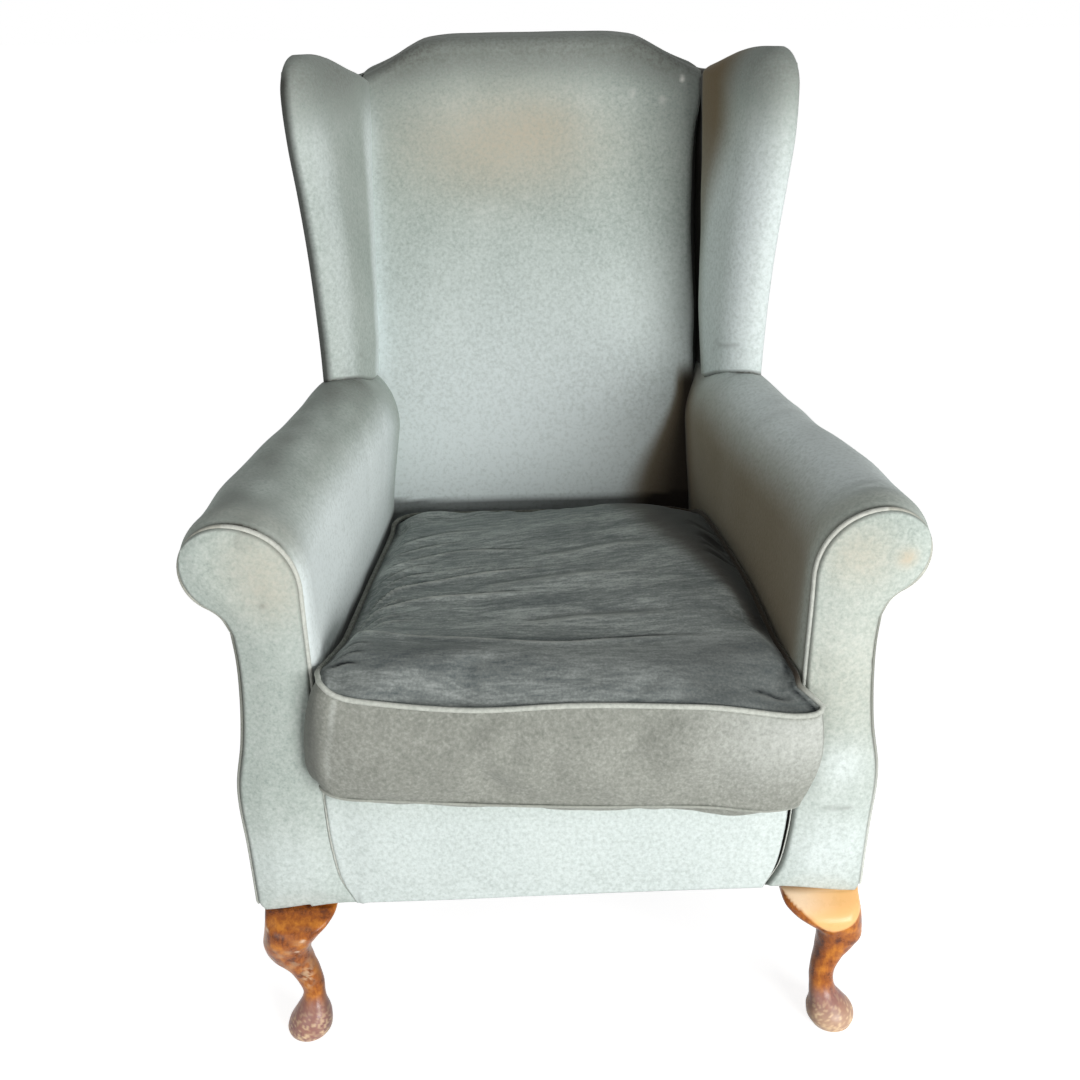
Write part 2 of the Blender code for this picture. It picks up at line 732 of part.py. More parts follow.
def back_post(side, turn, chair):
    """Rear leg and back upright sawn from one board."""
    stations = [(GLIDE + 0.0003, REAR_FOOT_X, 0.0130, REAR_FOOT_Y, 0.0130),
                (0.090, 0.2445, 0.0150, 0.628, 0.0165),
                (0.165, 0.2445, 0.0165, 0.5810, 0.0185),
                (RAIL_BOTTOM, 0.2445, POST_HALF[0], 0.5805, POST_HALF[1])]
    for z, x in ((RAIL_TOP, 0.2445), (0.620, 0.2385), (POST_TOP, 0.2355)):
        stations.append((z, x, POST_HALF[0], back_y(z) + POST_MIDDLE, POST_HALF[1]))
    rings = []
    for z, x, half_x, y, half_y in stations:
        rings.append(turn(box_ring(x - half_x, x + half_x, y - half_y, y + half_y, z)))
    timber("back_post_" + side, rings, "stained_beech", chair)


def slab_between_posts(name, half, heights, front, back, chair):
    """A board lying in the plane of the back, between two heights."""
    xs = [half * share for share in (-1, -0.6, -0.3, 0, 0.3, 0.6, 1)]
    near = []
    far = []
    for height in heights:
        near.append([(x, back_y(height(x)) + front, height(x)) for x in xs])
        far.append([(x, back_y(height(x)) + back, height(x)) for x in xs])
    return shell(name, near, far, "raw_beech", chair)


def crest_rail(chair):
    slab_between_posts("crest_rail", 0.235, (lambda x: CREST_RAIL_BOTTOM, lambda x: crest_z(x) - 0.0135),
                       TIMBER_FRONT, TIMBER_BACK, chair)


def lower_back_rail(chair):
    slab_between_posts("lower_back_rail", 0.2300, (lambda x: 0.330, lambda x: 0.370),
                       TIMBER_FRONT, TIMBER_BACK, chair)


WEB_COUNT = 4
WEB_WIDTH = 0.050
WEB_FIRST_Z = 0.440
WEB_PITCH = 0.120
WEB_HALF = 0.238
WEB_FRONT = 0.0565  # between the pad and the posts
WEB_BACK = 0.0585


def back_webbing(number, chair):
    low = WEB_FIRST_Z + WEB_PITCH * (number - 1)
    near = []
    far = []
    for z in (low, low + WEB_WIDTH):
        near.append([(x, back_y(z) + WEB_FRONT, z) for x in (-WEB_HALF, WEB_HALF)])
        far.append([(x, back_y(z) + WEB_BACK, z) for x in (-WEB_HALF, WEB_HALF)])
    shell("back_webbing_%d" % number, near, far, "jute_webbing", chair)


BACK_NARROW = 0.194  # half width of the pad between the arms
BACK_WIDE = 0.2205  # and above them, between the wings
BACK_CROWN = 0.016
BACK_PANEL_TOP_HALF = 0.254


def inside_back(chair):
    """Back pad: narrow between the arms, wider between the wings, turned over the crest rail."""
    shares = (-1, -0.85, -0.65, -0.4, 0, 0.4, 0.65, 0.85, 1)
    near = []
    far = []
    for z, half in ((0.3062, BACK_NARROW), (0.450, BACK_NARROW), (0.560, BACK_NARROW), (0.622, BACK_NARROW),
                    (0.632, BACK_WIDE), (0.760, BACK_WIDE), (0.890, BACK_WIDE)):
        crown = BACK_CROWN * math.sin(math.pi * min(max((z - 0.30) / 0.72, 0.0), 1.0))
        near.append([(half * s, back_y(z) - crown * (1 - s ** 4), z) for s in shares])
        far.append([(half * s, back_y(z) + BACK_PAD, z) for s in shares])
    xs = [BACK_WIDE * s for s in shares]
    over_rail = TIMBER_BACK + 0.001
    # below the crest: the front face, then how far below it the pad's rear face lies, and where
    for drop, front, under, behind in ((0.030, 0.001, 0.0120, BACK_PAD), (0.008, 0.008, 0.0115, over_rail),
                                       (0.0, 0.022, 0.0, over_rail)):
        near.append([(x, back_y(1.0) + front, crest_z(x) - drop) for x in xs])
        far.append([(x, back_y(crest_z(x) - under) + behind, crest_z(x) - under) for x in xs])
    shell("inside_back", near, far, "velour", chair)


def outside_back(chair):
    shares = (-1, -0.78, -0.6, -0.3, 0, 0.3, 0.6, 0.78, 1)
    near = []
    far = []
    for height, half in ((RAIL_BOTTOM, 0.264), (RAIL_TOP, 0.262), (0.60, 0.257), (0.90, BACK_PANEL_TOP_HALF),
                         (None, BACK_PANEL_TOP_HALF)):
        xs = [half * s for s in shares]
        zs = [crest_z(x) - 0.002 if height is None else height for x in xs]
        near.append([(x, back_y(z) + BACK_PANEL + CLOTH, z) for x, z in zip(xs, zs)])
        far.append([(x, back_y(z) + BACK_PANEL, z) for x, z in zip(xs, zs)])
    shell("outside_back", near, far, "velour", chair)


# Wings


WING_POST_S = (0.06, 0.16)  # front and back faces of the post, as shares of the wing's depth
TIMBER_D = (0.42, 0.86)  # inner and outer faces of the wing's timbers, as shares of its thickness
WING_POST_Z = (0.6080, 0.990)
POST_ROOM = 0.0012


def wing_post_rings(turn, room, bottom, top):
    """Sections of the upright behind the wing's front edge, with room all round for its slot."""
    side_room = room / WING_THICK
    rings = []
    front, back = WING_POST_S[0] - side_room * 0.2, WING_POST_S[1] + side_room * 0.2
    inner, outer = TIMBER_D[0] - side_room, TIMBER_D[1] + side_room
    for share in (0.0, 0.15, 0.45, 0.75, 1.0):
        z = mix(bottom, top, share)
        corners = ((front, inner), (back, inner), (back, outer), (front, outer))
        rings.append(turn([wing_point(s, d, z) for s, d in corners]))
    return rings


def wing_post(side, turn, chair):
    timber("wing_post_" + side, wing_post_rings(turn, 0.0, *WING_POST_Z), "raw_beech", chair)


def wing_rail(side, turn, chair):
    near = []
    far = []
    shares = (0.18, 0.25, 0.4, 0.6, 0.8, 0.88)
    for drop in (0.045, 0.0160):
        near.append(turn([wing_point(s, 0.43, wing_top_z(s, 0.43) - drop) for s in shares]))
        far.append(turn([wing_point(s, 0.86, wing_top_z(s, 0.86) - drop) for s in shares]))
    shell("wing_rail_" + side, near, far, "raw_beech", chair, smooth=None)


def inside_wing(side, turn, chair):
    """Pad on the wing's inner face, turned round the front edge and over the top."""
    # share of the depth on the inner face and on the face behind it, and whether that one is turned round
    columns = ((0.0, 0.0, True), (0.05, 0.035, True), (0.12, 0.042, False), (0.18, 0.17, False),
               (0.25, 0.25, False), (0.4, 0.4, False), (0.6, 0.6, False), (0.8, 0.8, False),
               (1.0, 1.0, False))
    # share of the height on both faces, and whether the face behind is turned over the top
    rows = ((0.0, 0.0, False), (0.25, 0.25, False), (0.5, 0.5, False), (0.75, 0.75, False),
            (0.92, None, False), (0.97, None, True), (1.0, 1.0, True))
    near = []
    far = []
    for low, under, turned_over in rows:
        near_row = []
        far_row = []
        for s, s_far, turned_round in columns:
            foot, top = wing_foot_z(s, 0.0), wing_top_z(s, 0.0)
            near_row.append(wing_point(s, 0.0, mix(foot, top, low)))
            d = 0.88 if turned_over or turned_round else 0.38
            foot, top = wing_foot_z(s_far, d), wing_top_z(s_far, d)
            z = mix(foot, top, under) if under is not None else top - (0.0115 if turned_over else 0.0125)
            far_row.append(wing_point(s_far, d, z))
        near.append(turn(near_row))
        far.append(turn(far_row))
    shell("inside_wing_" + side, near, far, "velour", chair)


def outside_wing(side, turn, chair):
    rows = []
    for share in (0.0, 0.25, 0.5, 0.75, 1.0):
        row = []
        for s in (0.0, 0.08, 0.2, 0.4, 0.7, 1.0, 1.13):
            z = mix(wing_foot_z(min(s, 1.0), 1.0), wing_top_z(s, 1.0) - 0.001, share)
            x, y, _ = wing_point(s, 1.0, z)
            row.append((x, min(y, back_y(z) + TIMBER_BACK + 0.001), z))
        rows.append(turn(row))
    if side == "left":
        rows.reverse()
    panel("outside_wing_" + side, rows, CLOTH, "velour", chair)


def build_chair():
    clear_scene()
    chair = bpy.data.objects.new("armchair", None)
    bpy.context.scene.collection.objects.link(chair)
    chair.location = (0.0, DEPTH_SHIFT, 0.0)
    for build in (front_rail, rear_rail, seat_platform, front_border, dust_cover, seat_cushion, crest_rail,
                  lower_back_rail, inside_back, outside_back):
        build(chair)
    for build in (front_leg, leg_bolt, glides, side_rail, corner_blocks, arm_stump, arm_facing, arm_piping,
                  arm_board, arm_tacking_rail, inside_arm, outside_arm, back_post, wing_post, wing_rail,
                  inside_wing, outside_wing):
        both(build, chair)
    for number in range(1, SPRING_COUNT + 1):
        seat_spring(number, chair)
    for number in range(1, WEB_COUNT + 1):
        back_webbing(number, chair)


build_chair()
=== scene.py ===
import math

import bpy
import numpy as np
from mathutils import Matrix, Vector, noise


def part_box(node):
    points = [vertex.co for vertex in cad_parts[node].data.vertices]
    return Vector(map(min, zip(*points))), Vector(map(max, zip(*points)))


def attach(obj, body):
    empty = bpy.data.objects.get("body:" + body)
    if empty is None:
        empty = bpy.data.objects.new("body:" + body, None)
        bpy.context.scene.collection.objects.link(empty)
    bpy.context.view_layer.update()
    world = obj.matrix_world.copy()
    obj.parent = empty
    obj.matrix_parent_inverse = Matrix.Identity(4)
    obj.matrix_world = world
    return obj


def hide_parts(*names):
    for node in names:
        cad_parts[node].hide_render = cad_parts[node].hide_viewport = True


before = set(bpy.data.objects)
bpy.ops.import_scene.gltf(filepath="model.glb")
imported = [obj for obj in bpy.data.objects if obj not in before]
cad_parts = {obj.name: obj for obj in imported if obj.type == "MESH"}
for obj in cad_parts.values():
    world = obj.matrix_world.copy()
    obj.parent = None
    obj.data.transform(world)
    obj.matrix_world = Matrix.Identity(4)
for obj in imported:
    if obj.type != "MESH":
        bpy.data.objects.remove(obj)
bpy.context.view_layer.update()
print("armchair: frame loaded,", len(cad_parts), "nodes")

# Depths (y) are measured back from the plane of the arm facings, as an upholsterer would;
# moveBack puts them in the frame, where that plane is a little in front of the middle
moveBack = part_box("arm_facing_left")[0].y + 0.002

shape = {
    "seatHalf": 0.258, "seatTaper": 0.095,  # half the gap between the arms, and how fast it narrows
    "sideHalf": 0.336, "sideTaper": 0.116,
    "backStart": 0.545, "backStartZ": 0.430, "backRake": 0.303, "rakeFrom": 0.300,
    "railBottom": 0.172, "deckTop": 0.324, "seatSag": 0.012,
    "scrollX": 0.331, "scrollZ": 0.589, "scrollRadius": 0.050,
    "rollZ": 0.560, "rollWidth": 0.0695, "rollHeight": 0.079,  # flatter inner side of the arm's roll
    "facingBack": 0.012, "spread": {"left": 0.0060, "right": 0.0035},
}


def mix(low, high, share):
    return low + (high - low) * share


def smooth(low, high, value):
    t = np.clip((value - low) / (high - low), 0.0, 1.0)
    return t * t * (3 - 2 * t)


def hump(value, centre, width):
    return np.exp(-((value - centre) / width) ** 2)


def softInterp(x, xs, ys):
    # cubic through the points, so that a short list of measures gives a smooth curve
    xs, ys = np.asarray(xs, float), np.asarray(ys, float)
    slopes = np.gradient(ys, xs)
    x = np.clip(x, xs[0], xs[-1])
    i = np.clip(np.searchsorted(xs, x) - 1, 0, len(xs) - 2)
    width = xs[i + 1] - xs[i]
    t = (x - xs[i]) / width
    return ((1 + 2 * t) * (1 - t) ** 2 * ys[i] + t * (1 - t) ** 2 * width * slopes[i]
            + t * t * (3 - 2 * t) * ys[i + 1] + t * t * (t - 1) * width * slopes[i + 1])


def smoothPath(points, count):
    points = np.asarray(points, float)
    chord = np.concatenate([[0.0], np.cumsum(np.linalg.norm(np.diff(points, axis=0), axis=1))])
    at = np.linspace(0.0, chord[-1], count)
    return np.stack([softInterp(at, chord, points[:, k]) for k in range(points.shape[1])], -1)


def arc(centreX, centreZ, radiusX, radiusZ, start, end, count):
    angle = np.radians(np.linspace(start, end, count))
    return np.stack([centreX + radiusX * np.cos(angle), centreZ + radiusZ * np.sin(angle)], -1)


def clustered(low, high, count, power=0.5):
    # steps that get closer towards both ends, where covers turn round an edge
    t = np.linspace(-1.0, 1.0, count)
    t = mix(t, np.sin(t * math.pi / 2), power)
    return mix(low, high, (t + 1) / 2)


def lumps(points, size, seed):
    flat = points.reshape(-1, 3) / size + seed
    return np.array([noise.noise(Vector(p)) for p in flat]).reshape(points.shape[:-1])


def normalsOf(points):
    along = np.gradient(points, axis=0)
    across = np.gradient(points, axis=1)
    normal = np.cross(along, across)
    return normal / np.maximum(np.linalg.norm(normal, axis=-1, keepdims=True), 1e-12)


def innerX(y):
    return shape["seatHalf"] - shape["seatTaper"] * y


def outerX(y):
    return shape["sideHalf"] - shape["sideTaper"] * y


def backY(z):
    return shape["backStart"] + shape["backRake"] * (np.maximum(z, shape["rakeFrom"]) - shape["backStartZ"])


def seatSag(x, y):
    across = np.maximum(0.0, 1.0 - (x / 0.22) ** 2)
    return shape["seatSag"] * across * np.sin(math.pi * np.clip((y - 0.045) / 0.48, 0.0, 1.0))


crest = {"x": (0.0, 0.070, 0.125, 0.149, 0.170, 0.198, 0.225, 0.240, 0.260),
         "z": (1.0410, 1.0410, 1.0392, 1.0350, 1.0250, 1.0085, 0.9955, 0.9900, 0.9880)}


def crestZ(x):
    return softInterp(np.abs(x), crest["x"], crest["z"])


# Surfaces and meshes

def addPiece(name, points, faces, material, replaced, marks=None, sharpAngle=70):
    mesh = bpy.data.meshes.new(name)
    points = np.array(points, float).reshape(-1, 3) + (0.0, moveBack, 0.0)
    mesh.from_pydata(points.tolist(), [], faces)
    corners = [points[[f[k] for f in faces]] for k in range(3)]
    volume = np.einsum("ij,ij->i", corners[0], np.cross(corners[1], corners[2])).sum()
    if volume < 0:
        mesh.flip_normals()
    for markName, values in (marks or {}).items():
        layer = mesh.attributes.new(markName, "FLOAT", "POINT")
        layer.data.foreach_set("value", np.clip(np.asarray(values, np.float32), 0, 1).ravel())
    mesh.shade_smooth()
    mesh.set_sharp_from_angle(angle=math.radians(sharpAngle))
    piece = bpy.data.objects.new(name, mesh)
    bpy.context.scene.collection.objects.link(piece)
    piece.data.materials.append(material)
    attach(piece, "root")
    if replaced:
        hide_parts(*replaced)
    return piece


def gridFaces(rows, columns, start=0, turned=False):
    faces = []
    for i in range(rows - 1):
        for j in range(columns - 1):
            a = start + i * columns + j
            face = (a, a + columns, a + columns + 1, a + 1)
            faces.append(face[::-1] if turned else face)
    return faces


def shellPiece(name, near, far, material, replaced, marks=None, sharpAngle=70):
    # near is the surface that shows, far its other side; the two are closed round the rim
    rows, columns = near.shape[:2]
    half = rows * columns
    faces = gridFaces(rows, columns) + gridFaces(rows, columns, half, turned=True)
    rim = [i * columns for i in range(rows)]
    rim += [(rows - 1) * columns + j for j in range(1, columns)]
    rim += [i * columns + columns - 1 for i in range(rows - 2, -1, -1)]
    rim += [j for j in range(columns - 2, 0, -1)]
    for p, q in zip(rim, rim[1:] + rim[:1]):
        faces.append((q, p, half + p, half + q))
    both = {k: np.concatenate([v.ravel(), v.ravel()]) for k, v in (marks or {}).items()}
    points = np.concatenate([near.reshape(-1, 3), far.reshape(-1, 3)])
    return addPiece(name, points, faces, material, replaced, both, sharpAngle)


def ringFaces(rows, columns, start=0, closeEnds=True):
    faces = []
    for i in range(rows - 1):
        for j in range(columns):
            a, b = start + i * columns + j, start + i * columns + (j + 1) % columns
            faces.append((a, b, b + columns, a + columns))
    if closeEnds:
        faces.append(tuple(start + j for j in range(columns))[::-1])
        faces.append(tuple(start + (rows - 1) * columns + j for j in range(columns)))
    return faces


def pipePoints(path, radius, sides=10, closed=False):
    # a cord of cloth laid along a path, its section carried round without twisting
    path = np.asarray(path, float)
    if closed:
        along = np.roll(path, -1, 0) - np.roll(path, 1, 0)
    else:
        along = np.gradient(path, axis=0)
    along /= np.linalg.norm(along, axis=1, keepdims=True)
    side = np.cross(along[0], (0.0, 0.3, 1.0) if abs(along[0][2]) < 0.9 else (1.0, 0.0, 0.0))
    radius = np.broadcast_to(radius, len(path))
    rings = []
    for k in range(len(path)):
        side = side - along[k] * side.dot(along[k])
        side /= np.linalg.norm(side)
        other = np.cross(along[k], side)
        turn = 2 * math.pi * np.arange(sides) / sides
        rings.append(path[k] + radius[k] * (np.cos(turn)[:, None] * side + np.sin(turn)[:, None] * other))
    return np.array(rings)


def pipePiece(name, path, radius, material, replaced, closed=False, marks=None):
    rings = pipePoints(path, radius, closed=closed)
    rows, sides = rings.shape[:2]
    faces = ringFaces(rows, sides, closeEnds=not closed)
    if closed:
        # the section may come back turned, so each corner of the last ring joins the nearest of the first
        shift = int(np.argmin([np.linalg.norm(rings[-1] - np.roll(rings[0], -k, 0)) for k in range(sides)]))
        last = (rows - 1) * sides
        for j in range(sides):
            faces.append((last + j, last + (j + 1) % sides, (j + 1 + shift) % sides, (j + shift) % sides))
    return addPiece(name, rings, faces, material, replaced, marks)


def placed(points, side):
    # everything is drawn for the right side; the arms have spread a little, the left one more
    x, y, z = np.moveaxis(points, -1, 0)
    atFront = 1 - smooth(0.02, 0.16, y)
    x = x + shape["spread"][side] * smooth(0.262, 0.335, x) * atFront * smooth(0.168, 0.180, z)
    return np.stack([-x if side == "left" else x, y, z], -1)


# Materials

def toLinear(hexColour):
    values = [int(hexColour[k:k + 2], 16) / 255 for k in (1, 3, 5)]
    return (*[v / 12.92 if v <= 0.04045 else ((v + 0.055) / 1.055) ** 2.4 for v in values], 1.0)


def addNode(tree, kind, settings=None, links=None):
    node = tree.nodes.new("ShaderNode" + kind)
    for name, value in (settings or {}).items():
        if name == "stops":
            while len(node.color_ramp.elements) < len(value):
                node.color_ramp.elements.new(0.5)
            for element, (position, colour) in zip(node.color_ramp.elements, value):
                element.position = position
                element.color = toLinear(colour)
        elif isinstance(name, int) or name in node.inputs:
            if isinstance(value, str) and value.startswith("#"):
                value = toLinear(value)
            node.inputs[name].default_value = value
        else:
            setattr(node, name, value)
    for name, source in (links or {}).items():
        tree.links.new(source, node.inputs[name])
    return node


def newMaterial(name):
    material = bpy.data.materials.new(name)
    material.use_nodes = True
    material.node_tree.nodes.clear()
    return material, material.node_tree


def closeMaterial(tree, settings, links):
    shader = addNode(tree, "BsdfPrincipled", settings, links)
    addNode(tree, "OutputMaterial", {}, {"Surface": shader.outputs[0]})


def mixColour(tree, share, first, second, blend="MIX"):
    links = {6: first}
    settings = {"data_type": "RGBA", "blend_type": blend}
    if isinstance(share, float):
        settings[0] = share
    else:
        links[0] = share
    if isinstance(second, str):
        settings[7] = second
    else:
        links[7] = second
    return addNode(tree, "Mix", settings, links).outputs[2]


# Cotton velour, a cut pile on a woven ground. Its pile is 2 mm long and its threads stand 0.5 mm
# apart, which is finer than a pixel, so the grain is drawn at 3 mm. The pile lies in patches
# that shade from dark to light, and shows paler at grazing angles, which the sheen gives.
velourPile = {"grain": 0.0030, "mottle": 0.0048, "streak": (1.0, 1.0, 1.0), "roughness": 0.92,
              "sheen": 0.22, "bump": 0.35}
# the brown and near-black tints of each look colour painted shade
velourLooks = {
    "cottonVelour": {
        "deep": "#98a39c", "pile": "#aeb8b1", "rubbed": "#c0c8c2", "sun": "#bdb19b", "dirt": "#54534c",
        "bleach": "#e0e9e8", "grime": "#675537", "soil": "#1a140f", "patch": 0.110, "weights": (0.55, 0.55)},
    # the seat's cloth is darker, partly less faded and partly painted shade on a top turned from the light
    "cottonVelourSeat": {
        "deep": "#5f6666", "pile": "#868c89", "rubbed": "#b4bab6", "sun": "#a39a88", "dirt": "#202426",
        "bleach": "#b9bcb5", "grime": "#3a3128", "soil": "#12100d", "patch": 0.042, "weights": (0.45, 0.95),
        "streak": (0.22, 1.0, 1.0), "roughness": 0.90},
    "cottonVelourBoxing": {
        "deep": "#787b73", "pile": "#8a8c84", "rubbed": "#9d9f97", "sun": "#a39a88", "dirt": "#3c3e3b",
        "bleach": "#ced2cc", "grime": "#4a4034", "soil": "#1a1612", "patch": 0.090, "weights": (0.65, 0.45)},
    "cottonVelourPiping": {
        "deep": "#979b92", "pile": "#a9aca3", "rubbed": "#bcbfb5", "sun": "#bfb199", "dirt": "#45443d",
        "bleach": "#d3d6cf", "grime": "#5a4b38", "soil": "#1a140f", "patch": 0.050, "weights": (0.50, 0.50),
        "sheen": 0.20, "bump": 0.25},
}


def makeVelour(name):
    look = {**velourPile, **velourLooks[name]}
    material, tree = newMaterial(name)
    place = addNode(tree, "TexCoord").outputs["Object"]
    streaked = addNode(tree, "Mapping", {"Scale": look["streak"]}, {"Vector": place}).outputs[0]
    grain = addNode(tree, "TexNoise", {"Scale": 1 / look["grain"], "Detail": 1.5, "Roughness": 0.6},
                    {"Vector": place}).outputs[0]
    mottle = addNode(tree, "TexNoise", {"Scale": 1 / look["mottle"], "Detail": 3.0, "Roughness": 0.62},
                     {"Vector": streaked}).outputs[0]
    patch = addNode(tree, "TexNoise", {"Scale": 1 / look["patch"], "Detail": 3.0, "Roughness": 0.55,
                                       "Distortion": 0.4}, {"Vector": streaked}).outputs[0]
    fine = addNode(tree, "Math", {"operation": "MULTIPLY_ADD", 1: look["weights"][0]},
                   {0: grain, 2: mottle}).outputs[0]
    whole = addNode(tree, "Math", {"operation": "MULTIPLY_ADD", 1: look["weights"][1]},
                    {0: patch, 2: fine}).outputs[0]
    # each noise swings about a half, so their middle is half of the weights
    middle = 0.5 * (1 + sum(look["weights"]))
    share = addNode(tree, "MapRange", {1: middle - 0.30, 2: middle + 0.30}, {0: whole}).outputs[0]
    colour = addNode(tree, "ValToRGB", {"stops": [(0.0, look["deep"]), (0.5, look["pile"]),
                                                  (1.0, look["rubbed"])]}, {0: share}).outputs[0]
    broken = addNode(tree, "MapRange", {1: 0.35, 2: 0.65, 3: 0.75, 4: 1.2}, {0: mottle}).outputs[0]
    # and near-black marks are painted shade, the dark and pale marks partly painted shade and light
    # besides stains, fading and specks, these marks paint shade and light into the colour: the brown
    for mark in ("sun", "bleach", "dirt"):
        amount = addNode(tree, "Attribute", {"attribute_name": mark}).outputs["Fac"]
        amount = addNode(tree, "Math", {"operation": "MULTIPLY", "use_clamp": True},
                         {0: amount, 1: broken}).outputs[0]
        colour = mixColour(tree, amount, colour, look[mark])
    for mark, tint in (("grime", look["grime"]), ("soil", look["soil"]), ("lint", "#e6e6df")):
        amount = addNode(tree, "Attribute", {"attribute_name": mark}).outputs["Fac"]
        colour = mixColour(tree, amount, colour, tint)
    bumped = addNode(tree, "Bump", {"Strength": look["bump"], "Distance": 0.0012},
                     {"Height": fine}).outputs[0]
    closeMaterial(tree, {"Roughness": look["roughness"], "Sheen Weight": look["sheen"],
                         "Sheen Roughness": 0.45, "Sheen Tint": "#dfe6e2", "Specular IOR Level": 0.25,
                         "IOR": 1.45},
                  {"Base Color": colour, "Normal": bumped})
    return material


# Beech stained red-brown and French polished; the polish is rubbed through on the ankles and chipped
# at the feet, so gloss and colour change together.
legLook = {"dark": "#54260f", "stain": "#985113", "honey": "#c27827", "pale": "#efbb7a", "bare": "#dcbf9b",
           "foot": "#9a746e", "fleck": "#f3dcc0", "figure": 0.004, "cloud": 0.018, "footHeight": 0.050}


def makeStainedBeech():
    material, tree = newMaterial("stainedBeech")
    place = addNode(tree, "TexCoord").outputs["Object"]
    stretched = addNode(tree, "Mapping", {"Scale": (1.0, 1.0, 0.22)}, {"Vector": place}).outputs[0]
    figure = addNode(tree, "TexNoise", {"Scale": 1 / legLook["figure"], "Detail": 3.0, "Distortion": 0.6},
                     {"Vector": stretched}).outputs[0]
    cloud = addNode(tree, "TexNoise", {"Scale": 1 / legLook["cloud"], "Detail": 4.0, "Roughness": 0.65},
                    {"Vector": place}).outputs[0]
    tone = addNode(tree, "Math", {"operation": "MULTIPLY_ADD", 1: 0.35}, {0: figure, 2: cloud}).outputs[0]
    colour = addNode(tree, "ValToRGB", {"stops": [(0.45, legLook["dark"]), (0.66, legLook["stain"]),
                                                  (0.86, legLook["honey"])]}, {0: tone}).outputs[0]
    # pale is painted light on the right knee, the fleck tint also a highlight there, the near-black mark
    # shade
    for mark, tint in (("foot", legLook["foot"]), ("pale", legLook["pale"]), ("bare", legLook["bare"]),
                       ("lint", legLook["fleck"]), ("dirt", "#1c0e08")):
        amount = addNode(tree, "Attribute", {"attribute_name": mark}).outputs["Fac"]
        colour = mixColour(tree, amount, colour, tint)
    worn = addNode(tree, "Attribute", {"attribute_name": "bare"}).outputs["Fac"]
    rough = addNode(tree, "MapRange", {1: 0.3, 2: 0.75, 3: 0.22, 4: 0.42}, {0: cloud}).outputs[0]
    rough = addNode(tree, "Math", {"operation": "MULTIPLY_ADD", 1: 0.3}, {0: worn, 2: rough}).outputs[0]
    bumped = addNode(tree, "Bump", {"Strength": 0.25, "Distance": 0.0006}, {"Height": tone}).outputs[0]
    closeMaterial(tree, {"IOR": 1.5, "Coat Weight": 0.12, "Coat Roughness": 0.18, "Specular IOR Level": 0.28},
                  {"Base Color": colour, "Roughness": rough, "Normal": bumped})
    return material


def makeRawBeech():
    # planed beech, left bare under the covers: pale with short darker flecks along the grain
    material, tree = newMaterial("planedBeech")
    place = addNode(tree, "TexCoord").outputs["Object"]
    stretched = addNode(tree, "Mapping", {"Scale": (0.25, 0.6, 1.0)}, {"Vector": place}).outputs[0]
    grain = addNode(tree, "TexNoise", {"Scale": 1 / 0.006, "Detail": 4.0, "Distortion": 0.5},
                    {"Vector": stretched}).outputs[0]
    colour = addNode(tree, "ValToRGB", {"stops": [(0.3, "#a37a4e"), (0.5, "#c19a6b"), (0.72, "#d3b184")]},
                     {0: grain}).outputs[0]
    bumped = addNode(tree, "Bump", {"Strength": 0.2, "Distance": 0.0005}, {"Height": grain}).outputs[0]
    closeMaterial(tree, {"Roughness": 0.62, "IOR": 1.5}, {"Base Color": colour, "Normal": bumped})
    return material


wovenLooks = {
    # name: thread colours, thread spacing, roughness; the spacing is drawn at 4 mm where it is finer
    "cottonDeckCloth": {"light": "#7d837c", "dark": "#5f655f", "spacing": 0.004, "roughness": 0.95},
    "blackBottomingCloth": {"light": "#2a2a2b", "dark": "#161617", "spacing": 0.004, "roughness": 0.95},
    "juteWebbing": {"light": "#a88c62", "dark": "#7c6443", "spacing": 0.005, "roughness": 0.95},
}


def makeWoven(name):
    # plain weave: two sets of threads at right angles, each over and under the other
    look = wovenLooks[name]
    material, tree = newMaterial(name)
    place = addNode(tree, "TexCoord").outputs["Object"]
    threads = [addNode(tree, "TexWave", {"bands_direction": axis, "Scale": 0.314 / look["spacing"],
                                         "Distortion": 0.6, "Detail": 1.0}, {"Vector": place}).outputs[1]
               for axis in ("X", "Z")]
    weave = addNode(tree, "Math", {"operation": "MAXIMUM"}, {0: threads[0], 1: threads[1]}).outputs[0]
    colour = addNode(tree, "ValToRGB", {"stops": [(0.1, look["dark"]), (0.9, look["light"])]},
                     {0: weave}).outputs[0]
    bumped = addNode(tree, "Bump", {"Strength": 0.4, "Distance": 0.0008}, {"Height": weave}).outputs[0]
    closeMaterial(tree, {"Roughness": look["roughness"], "Specular IOR Level": 0.2},
                  {"Base Color": colour, "Normal": bumped})
    return material


def makeSteel(name, clean, rust, roughness):
    # drawn wire and pressed glides, dull with a little rust in patches
    material, tree = newMaterial(name)
    place = addNode(tree, "TexCoord").outputs["Object"]
    cloud = addNode(tree, "TexNoise", {"Scale": 1 / 0.006, "Detail": 4.0}, {"Vector": place}).outputs[0]
    rusted = addNode(tree, "MapRange", {1: 0.52, 2: 0.68}, {0: cloud}).outputs[0]
    colour = mixColour(tree, rusted, addNode(tree, "RGB").outputs[0], rust)
    tree.nodes["RGB"].outputs[0].default_value = toLinear(clean)
    rough = addNode(tree, "MapRange", {3: roughness, 4: roughness + 0.35}, {0: rusted}).outputs[0]
    metal = addNode(tree, "MapRange", {3: 1.0, 4: 0.2}, {0: rusted}).outputs[0]
    closeMaterial(tree, {}, {"Base Color": colour, "Roughness": rough, "Metallic": metal})
    return material


cottonVelour, cottonVelourSeat, cottonVelourBoxing, cottonVelourPiping = map(makeVelour, velourLooks)
stainedBeech, planedBeech = makeStainedBeech(), makeRawBeech()
cottonDeckCloth, blackBottomingCloth, juteWebbing = map(makeWoven, wovenLooks)
springSteel = makeSteel("drawnSpringSteel", "#8d8f92", "#6a4630", 0.38)
glideSteel = makeSteel("nickelledGlide", "#b5b3ad", "#7b5a42", 0.30)

